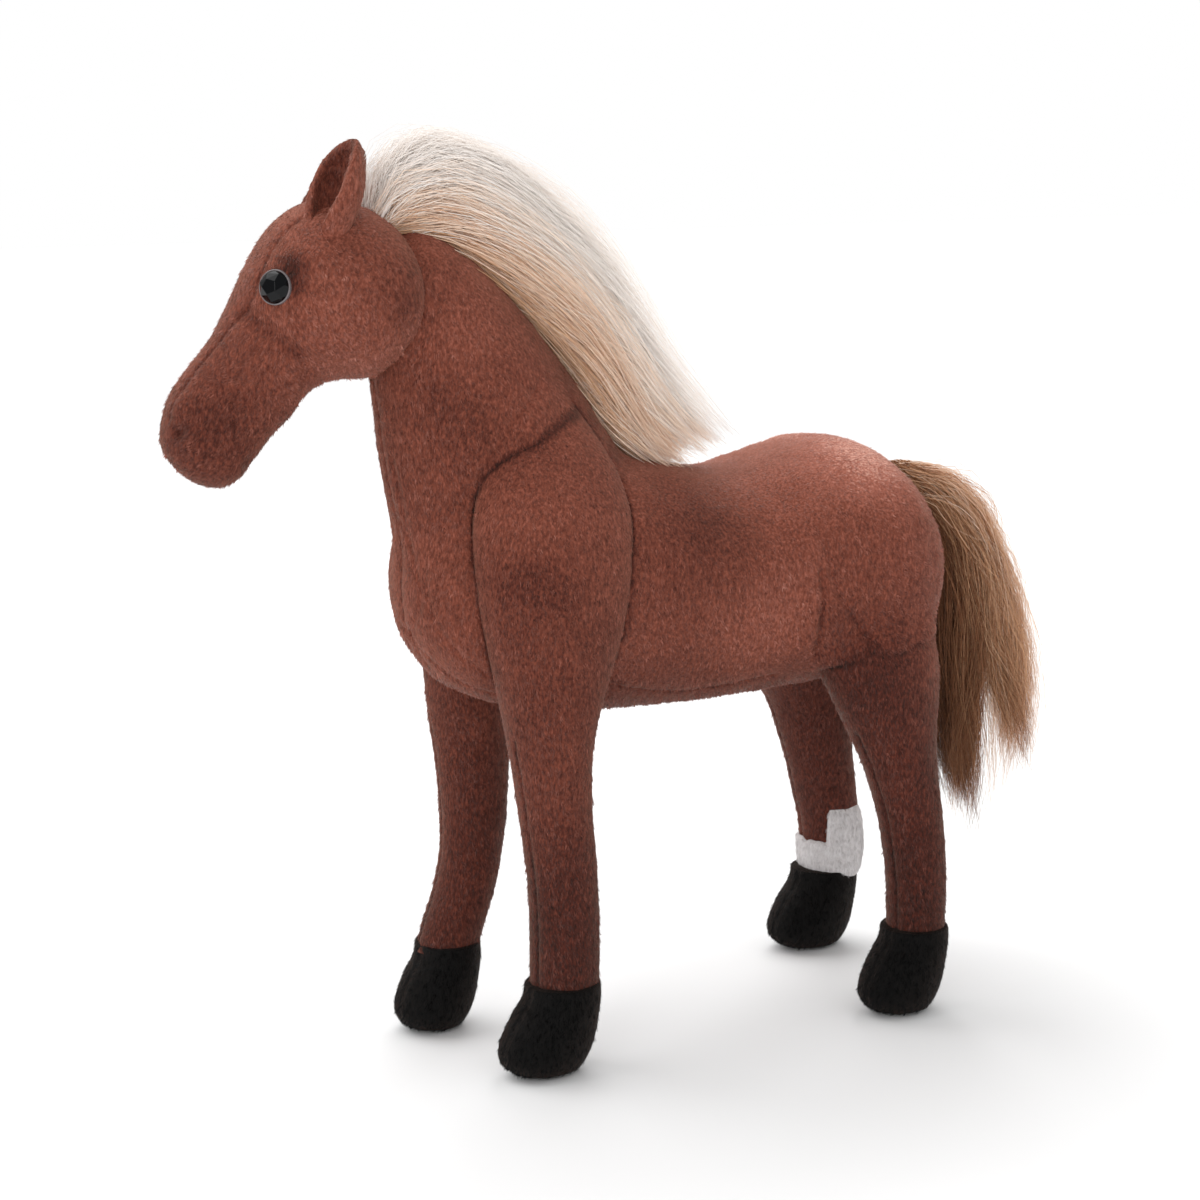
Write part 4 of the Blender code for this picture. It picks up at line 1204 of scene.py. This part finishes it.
# Mane
# Long-pile faux fur, sewn by its backing strip into the seam along the crest and brushed back.
# It stands up behind the ears, bends over and runs down the crest to the withers.
# The hair's outer edge and the crest below it, in y and z, and its half width along the way
mane_outer = (
    (-134, 377), (-134, 391), (-125, 402), (-110, 407), (-94, 403), (-75, 396), (-56, 385),
    (-39, 370), (-22, 350), (-9, 330), (3, 309), (20, 287), (43, 265))
mane_crest = (
    (-130, 366), (-124, 367), (-115, 367), (-104, 365), (-91, 359), (-79, 350), (-67, 338),
    (-55, 325), (-43, 311), (-32, 294), (-23, 276), (-14, 264), (-4, 260))
mane_half = ((0, 5), (0.08, 7), (0.2, 14), (0.35, 18), (0.7, 20), (0.9, 18), (1.0, 13))
mane_form = (mane_outer, mane_crest, mane_half)


def hair_place(form, along, up, across):
    """A place in the hair: how far along, how far out from the crest, and how far to the side."""
    outer, crest, half = form
    reach = min(max(along, 0.0), 1.0) * (len(outer) - 1.0001)
    index = int(reach)
    part = reach - index
    high = Vector(outer[index]).lerp(Vector(outer[index + 1]), part)
    low = Vector(crest[index]).lerp(Vector(crest[index + 1]), part)
    spot = low.lerp(high, up)
    drape = 14 * across * across * max(0.0, 1 - up) * min(1.0, max(0.0, 5 * along - 3.8))
    return (across * np.interp(along, *zip(*half)), spot.x, spot.y - drape)


def clear_of_ear(side, along):
    """Hair on the right starts close to the crest, so the ear has room when the head turns."""
    return side if side > 0 else side * min(1.0, 0.15 + 6 * max(0.0, along - 0.18))


def guide_mesh(paths, girths, tones):
    """Guide hairs as chains of edges, with each point's clump size and each guide's tone."""
    points = []
    edges = []
    girth = []
    tone = []
    for path, size, value in zip(paths, girths, tones):
        for index, point in enumerate(path):
            if index:
                edges.append((len(points) - 1, len(points)))
            points.append(tuple(c * mm for c in point))
            way = min(1, 0.15 + index / len(path)) ** 0.8
            girth.append(size * mm * (0.35 + 1.3 * math.sin(math.pi * way)))
            tone.append(value)
    mesh = bpy.data.meshes.new("guides")
    mesh.from_pydata(points, edges, [])
    attribute(mesh, "girth", np.array(girth))
    attribute(mesh, "guide tone", np.array(tone))
    return mesh


def hair_tree():
    """Clumps of long fibre: each guide hair is copied, spread, crimped, trimmed and given width."""
    tree = open_group("long pile", {
        "Crimp": 0.8 * mm, "Crimp length": 14 * mm, "Strand width": 0.25 * mm, "Uneven tips": 0.35},
        {"Strands": 30, "Points": 8, "Seed": 1})
    given = add(tree, "NodeGroupInput").outputs
    kinds = {
        "girth": "FLOAT", "guide tone": "FLOAT", "stray": "FLOAT_VECTOR", "luck": "FLOAT",
        "tone": "FLOAT", "along": "FLOAT", "across": "FLOAT"}
    read = {
        label: add(tree, "GeometryNodeInputNamedAttribute", {"Name": label}, data_type=kind).outputs[0]
        for label, kind in kinds.items()}
    curves = add(tree, "GeometryNodeMeshToCurve", {"Mesh": given["Geometry"]}).outputs[0]
    curves = add(tree, "GeometryNodeResampleCurve", {"Curve": curves, "Count": 9}).outputs[0]
    curves = add(tree, "GeometryNodeDuplicateElements", {
        "Geometry": curves, "Amount": given["Strands"]}, domain="SPLINE").outputs[0]
    stray = add(tree, "FunctionNodeRandomValue", {
        "Min": (-1, -1, -1), "Max": (1, 1, 1), "Seed": given["Seed"]}, data_type="FLOAT_VECTOR").outputs[0]
    luck = add(tree, "FunctionNodeRandomValue", {
        2: 0.0, 3: 1.0, "Seed": given["Seed"]}, data_type="FLOAT").outputs[1]
    for label, value in (("stray", stray), ("luck", luck)):
        curves = add(tree, "GeometryNodeStoreNamedAttribute", {
            "Geometry": curves, "Name": label, "Value": value},
            data_type=kinds[label], domain="CURVE").outputs[0]
    factor = add(tree, "GeometryNodeSplineParameter").outputs["Factor"]
    spread = add(tree, "ShaderNodeVectorMath", {
        0: read["stray"], "Scale": read["girth"]}, operation="SCALE").outputs[0]
    spot = add(tree, "GeometryNodeInputPosition").outputs[0]
    size = add(tree, "ShaderNodeMath", {0: 1.0, 1: given["Crimp length"]}, operation="DIVIDE").outputs[0]
    spot = add(tree, "ShaderNodeVectorMath", {0: spot, "Scale": size}, operation="SCALE").outputs[0]
    shift = add(tree, "ShaderNodeVectorMath", {
        0: read["stray"], "Scale": 9.0}, operation="SCALE").outputs[0]
    spot = add(tree, "ShaderNodeVectorMath", {0: spot, 1: shift}, operation="ADD").outputs[0]
    wave = add(tree, "ShaderNodeTexNoise", {"Vector": spot, "Scale": 1.0, "Detail": 1.0}).outputs["Color"]
    wave = add(tree, "ShaderNodeVectorMath", {
        0: wave, 1: (0.5, 0.5, 0.5)}, operation="SUBTRACT").outputs[0]
    amount = add(tree, "ShaderNodeMath", {0: factor, 1: given["Crimp"]}, operation="MULTIPLY").outputs[0]
    amount = add(tree, "ShaderNodeMath", {0: amount, 1: 6.0}, operation="MULTIPLY").outputs[0]
    wave = add(tree, "ShaderNodeVectorMath", {0: wave, "Scale": amount}, operation="SCALE").outputs[0]
    move = add(tree, "ShaderNodeVectorMath", {0: spread, 1: wave}, operation="ADD").outputs[0]
    curves = add(tree, "GeometryNodeSetPosition", {"Geometry": curves, "Offset": move}).outputs[0]
    cut = add(tree, "ShaderNodeMath", {
        0: read["luck"], 1: given["Uneven tips"]}, operation="MULTIPLY").outputs[0]
    cut = add(tree, "ShaderNodeMath", {0: 1.0, 1: cut}, operation="SUBTRACT").outputs[0]
    curves = add(tree, "GeometryNodeTrimCurve", {"Curve": curves, 3: cut}, mode="FACTOR").outputs[0]
    curves = add(tree, "GeometryNodeResampleCurve", {
        "Curve": curves, "Count": given["Points"]}).outputs[0]
    change = add(tree, "FunctionNodeRandomValue", {
        2: -0.14, 3: 0.14, "Seed": given["Seed"]}, data_type="FLOAT").outputs[1]
    tone = add(tree, "ShaderNodeMath", {0: read["guide tone"], 1: change}, operation="ADD").outputs[0]
    for label, value, domain in (("along", factor, "POINT"), ("tone", tone, "CURVE")):
        curves = add(tree, "GeometryNodeStoreNamedAttribute", {
            "Geometry": curves, "Name": label, "Value": value},
            data_type="FLOAT", domain=domain).outputs[0]
    thin = add(tree, "ShaderNodeMath", {0: factor, 1: 3.0}, operation="POWER").outputs[0]
    thin = add(tree, "ShaderNodeMath", {
        0: thin, 1: -0.75, 2: 1.0}, operation="MULTIPLY_ADD").outputs[0]
    thin = add(tree, "ShaderNodeMath", {
        0: thin, 1: given["Strand width"]}, operation="MULTIPLY").outputs[0]
    tilt = add(tree, "ShaderNodeMath", {0: read["luck"], 1: 50.0}, operation="MULTIPLY").outputs[0]
    curves = add(tree, "GeometryNodeSetCurveTilt", {"Curve": curves, "Tilt": tilt}).outputs[0]
    line = add(tree, "GeometryNodeCurvePrimitiveLine", {"Start": (-0.5, 0, 0), "End": (0.5, 0, 0)})
    line = add(tree, "GeometryNodeStoreNamedAttribute", {
        "Geometry": line.outputs[0], "Name": "across", "Value": factor}, data_type="FLOAT", domain="POINT")
    strands = add(tree, "GeometryNodeCurveToMesh", {
        "Curve": curves, "Profile Curve": line.outputs[0], "Scale": thin}).outputs[0]
    u = add(tree, "ShaderNodeMath", {
        0: read["across"], 1: 0.02, 2: read["tone"]}, operation="MULTIPLY_ADD").outputs[0]
    flat = add(tree, "ShaderNodeCombineXYZ", {0: u, 1: read["along"]}).outputs[0]
    mapped = add(tree, "GeometryNodeStoreNamedAttribute", {
        "Geometry": strands, "Name": "OFBake", "Value": flat}, data_type="FLOAT2", domain="CORNER")
    dressed = add(tree, "GeometryNodeSetMaterial", {
        "Geometry": mapped.outputs[0], "Material": given["Fibre"]})
    add(tree, "NodeGroupOutput", {"Geometry": dressed.outputs[0]})
    return tree


long_pile = hair_tree()


def grow_hair(name, paths, girths, tones, fibre, seed, sizes):
    """The strands that grow along a set of guide hairs, as a piece of its own."""
    holder = show(name, guide_mesh(paths, girths, tones))
    return grown(holder, long_pile, {"Seed": seed, "Fibre": fibre, **sizes})


# Brown at the roots, nearly white where the fibre fades out at its tips, and painted light on the outer hair
mane_stops = ((0.0, "#6c4228"), (0.28, "#dcae88"), (0.5, "#ffe6d0"), (0.75, "#fff9f4"))
mane_fibre = brushed_fibre("blond long-pile fibre", mane_stops, 0.15, 0.12)
mane_root_stops = ((0.1, "#a87e5c"), (0.5, "#dcb592"), (0.9, "#f2dac2"))
# Streaks per metre in x, y and z: about 1 mm wide and 17 mm long
root_grain = (0.9 / mm, 0.06 / mm, 0.9 / mm)


def hair_core(form, low, high, share, end):
    """A closed form under the strands, for the dense root mass of the pile."""
    start = 0.03
    count = 12
    rows = []
    for number in range(count):
        along = start + (end - start) * number / (count - 1)
        near = hair_place(form, along, low, 0)
        far = hair_place(form, along, high, 0)
        half = np.interp(along, *zip(*form[2]))
        rows.append((near[1], near[2], far[1], far[2], share * half))
    return sewn_form(rows, 40, 24)


mane_core = show("mane_core", hair_core(mane_form, 0.0, 0.66, 0.6, 0.9))
mane_core.data.materials.append(knitted_plush("blond pile roots", mane_root_stops, root_grain, 0.05))
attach(mane_core, "trunk")
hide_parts("mane_hair", "mane_strip")
mane_guides = 330
mane_steps = 12
for part in range(3):
    chance = np.random.default_rng(200 + part)
    paths = []
    girths = []
    tones = []
    for number in range(mane_guides):
        root = 0.80 * chance.random() ** 1.1
        swing = chance.random() * 2 * math.pi
        shell = chance.random() ** 0.35
        side = math.sin(swing) * shell
        lift = 0.5 + 0.5 * math.cos(swing) * shell
        travel = min(0.50 + 0.14 * chance.random(), 1.07 - root - 0.34 * chance.random() ** 1.3)
        # Hair behind the ears stands up before it bends over
        upright = root < 0.10
        path = []
        for step in range(mane_steps):
            part_way = step / (mane_steps - 1)
            rise = 1 - (1 - part_way) ** (3.2 if upright else 1.7)
            along = root + travel * part_way ** (1.25 if upright else 1.0)
            up = 0.03 + (max(lift, 0.1) - 0.03) * rise
            across = clear_of_ear(side, along) * (0.25 + 0.75 * rise)
            path.append(hair_place(mane_form, along, up, across))
        paths.append(path)
        girths.append(3.2 + 1.8 * chance.random())
        # Paler outwards and towards the head: the blond fibre's own colour, with painted light where the
        # outer hair glows
        tone = 0.14 + 0.54 * lift ** 0.7 + 0.12 * lift ** 4 + 0.6 * max(0, 0.5 - root) * lift
        tones.append(tone + 0.18 * (chance.random() - 0.5))
    hair = grow_hair(
        f"mane_strands_{part + 1}", paths, girths, tones, mane_fibre, 210 + part,
        {"Strands": 52, "Points": 6})
    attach(hair, "trunk")
chance = np.random.default_rng(240)
paths = []
for number in range(90):
    root = 0.65 * chance.random()
    side = 1.6 * (chance.random() - 0.5)
    height = 0.9 + 0.16 * chance.random()
    travel = min(0.55 + 0.2 * chance.random(), 1.06 - root)
    stray = 0.10 * (chance.random() - 0.3)
    path = []
    for step in range(mane_steps):
        part_way = step / (mane_steps - 1)
        along = root + travel * part_way
        up = 0.05 + height * (1 - (1 - part_way) ** 2.4) + stray * part_way ** 3
        across = clear_of_ear(side, along) * (0.3 + 0.7 * part_way)
        path.append(hair_place(mane_form, along, up, across))
    paths.append(path)
flyaways = grow_hair(
    "mane_flyaways", paths, [5.0] * len(paths), [0.8] * len(paths), mane_fibre, 250,
    {"Strands": 14, "Crimp": 1.4 * mm, "Strand width": 0.22 * mm})
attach(flyaways, "trunk")

# Tail
# Coarser, darker long pile, sewn into the end seam below the croup by a rolled strip. It arches
# out and falls in two uneven locks.
tail_outer = (
    (134, 249), (147, 249), (164, 245), (180, 235), (193, 212), (201, 190), (208, 163), (213, 137),
    (215, 112), (213, 88), (208, 68))
tail_inner = (
    (136, 240), (141, 234), (148, 222), (153, 203), (157, 182), (160, 160), (163, 138), (166, 118),
    (169, 103), (173, 88), (181, 72))
tail_half = ((0, 6), (0.15, 12), (0.35, 18), (0.6, 21), (0.85, 19), (1.0, 14))
tail_form = (tail_outer, tail_inner, tail_half)
tail_stops = ((0.0, "#4a2c18"), (0.35, "#926244"), (0.6, "#d4a47e"), (0.9, "#fbe4d0"))
tail_fibre = brushed_fibre("brown long-pile fibre", tail_stops, 0.15, 0.15)
tail_root_stops = ((0.1, "#4a2f1d"), (0.5, "#7d563a"), (0.9, "#a98260"))
tail_core = show("tail_core", hair_core(tail_form, 0.2, 0.75, 0.55, 0.56))
tail_core.data.materials.append(knitted_plush("brown pile roots", tail_root_stops, root_grain, 0.05))
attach(tail_core, "tail")
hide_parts("tail_hair", "tail_strip")
tail_guides = 260
tail_steps = 14
lock_split = 0.60
for part in range(2):
    chance = np.random.default_rng(300 + part)
    paths = []
    girths = []
    tones = []
    for number in range(tail_guides):
        root = 0.10 * chance.random()
        swing = chance.random() * 2 * math.pi
        shell = chance.random() ** 0.35
        side = math.sin(swing) * shell
        lift = 0.5 + 0.5 * math.cos(swing) * shell
        lock = lift + 0.25 * side
        right = lock > lock_split
        reach = (0.80 if right else 0.90) + 0.10 * chance.random()
        if number % 5 == 0:
            reach *= 0.5 + 0.4 * chance.random()
        path = []
        for step in range(tail_steps):
            part_way = step / (tail_steps - 1)
            fan = 1 - (1 - part_way) ** 2.4
            along = root + (reach - root) * part_way
            sway = (0.04 + 0.10 * part_way) * math.sin(10.0 * part_way + 2.4 * number)
            # The two locks part below the middle of the tail
            parting = (0.38 if right else -0.44) * max(0, (along - 0.42) / 0.50)
            parting *= math.exp(-((lock - lock_split) / 0.22) ** 2)
            up = 0.5 + (lift - 0.5) * fan + sway + parting
            across = side * (0.3 + 0.7 * fan) + 1.2 * sway
            path.append(hair_place(tail_form, along, up, across))
        paths.append(path)
        girths.append(2.6 + 2.6 * chance.random())
        tones.append(0.12 + 0.72 * lift + 0.34 * (chance.random() - 0.5))
    hair = grow_hair(f"tail_strands_{part + 1}", paths, girths, tones, tail_fibre, 310 + part, {
        "Strands": 40, "Points": 9, "Crimp": 4.4 * mm, "Crimp length": 20 * mm, "Uneven tips": 0.62})
    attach(hair, "tail")
chance = np.random.default_rng(340)
paths = []
for number in range(70):
    side = 1.9 * (chance.random() - 0.5)
    height = 0.2 + 0.9 * chance.random()
    reach = 0.7 + 0.36 * chance.random()
    drift = 0.22 * (chance.random() - 0.5)
    path = []
    for step in range(tail_steps):
        part_way = step / (tail_steps - 1)
        bend = drift * part_way ** 2
        up = 0.5 + (height - 0.5) * (1 - (1 - part_way) ** 2) + bend
        across = side * (0.3 + 0.7 * part_way) + 2 * bend
        path.append(hair_place(tail_form, 0.05 + (reach - 0.05) * part_way, up, across))
    paths.append(path)
wisps = grow_hair("tail_wisps", paths, [4.5] * len(paths), [0.75] * len(paths), tail_fibre, 350, {
    "Strands": 12, "Points": 10, "Crimp": 4.5 * mm, "Crimp length": 22 * mm, "Strand width": 0.24 * mm})
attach(wisps, "tail")

# Washers
# The locking washers behind the eyes keep their own form, in dull black plastic.
dull_plastic = plastic("dull black plastic", "#1d1c1e", {"Roughness": 0.5})
for name in ("eye_washer_left", "eye_washer_right"):
    washer = bpy.data.objects[name]
    washer.data.materials.clear()
    washer.data.materials.append(dull_plastic)

# Floor, backdrop and lamps
# A plain white sweep under soft studio light from the upper left, with a faint shadow.
floor_reach = 6
paper_white = 0.86
floor_mesh = bpy.data.meshes.new("floor")
corners = [(floor_reach * x, floor_reach * y, 0) for x, y in ((-1, -1), (1, -1), (1, 1), (-1, 1))]
floor_mesh.from_pydata(corners, [], [(0, 1, 2, 3)])
floor = show("floor", floor_mesh)
paper = bare_material("white paper sweep")
sheet = add(paper.node_tree, "ShaderNodeBsdfDiffuse", {
    "Color": (paper_white, paper_white, paper_white, 1)})
add(paper.node_tree, "ShaderNodeOutputMaterial", {"Surface": sheet.outputs[0]})
floor_mesh.materials.append(paper)
# The backdrop is white to the camera, a little dimmer as light, and darker in reflections
world = bpy.data.worlds.new("studio")
scene.world = world
world.use_nodes = True
tree = world.node_tree
tree.nodes.clear()
seen = add(tree, "ShaderNodeLightPath").outputs
around = add(tree, "ShaderNodeMapRange", {
    "Value": seen["Is Glossy Ray"], "To Min": 0.84, "To Max": 0.32}).outputs[0]
strength = add(tree, "ShaderNodeMath", {
    0: around, 1: seen["Is Camera Ray"]}, operation="MAXIMUM").outputs[0]
light = add(tree, "ShaderNodeBackground", {"Color": (1, 1, 1, 1), "Strength": strength})
add(tree, "ShaderNodeOutputWorld", {"Surface": light.outputs[0]})
sun_data = bpy.data.lights.new("overhead", "SUN")
sun_data.energy = 1.4
sun_data.angle = math.radians(60)
sun = bpy.data.objects.new("overhead", sun_data)
sun.rotation_euler = Vector((-0.42, -0.30, 0.86)).to_track_quat("Z", "Y").to_euler()
scene.collection.objects.link(sun)


def lamp(name, place, aim, size, power):
    data = bpy.data.lights.new(name, "AREA")
    data.size = size
    data.energy = power
    thing = bpy.data.objects.new(name, data)
    thing.location = place
    thing.rotation_euler = (Vector(place) - Vector(aim)).to_track_quat("Z", "Y").to_euler()
    scene.collection.objects.link(thing)


lamp("fill", (1.4, -1.6, 0.9), (0, 0, 0.2), 0.9, 8)
lamp("back", (-1.0, 0.7, 1.3), (0, 0, 0.3), 0.9, 8)
scene.view_settings.view_transform = "Standard"
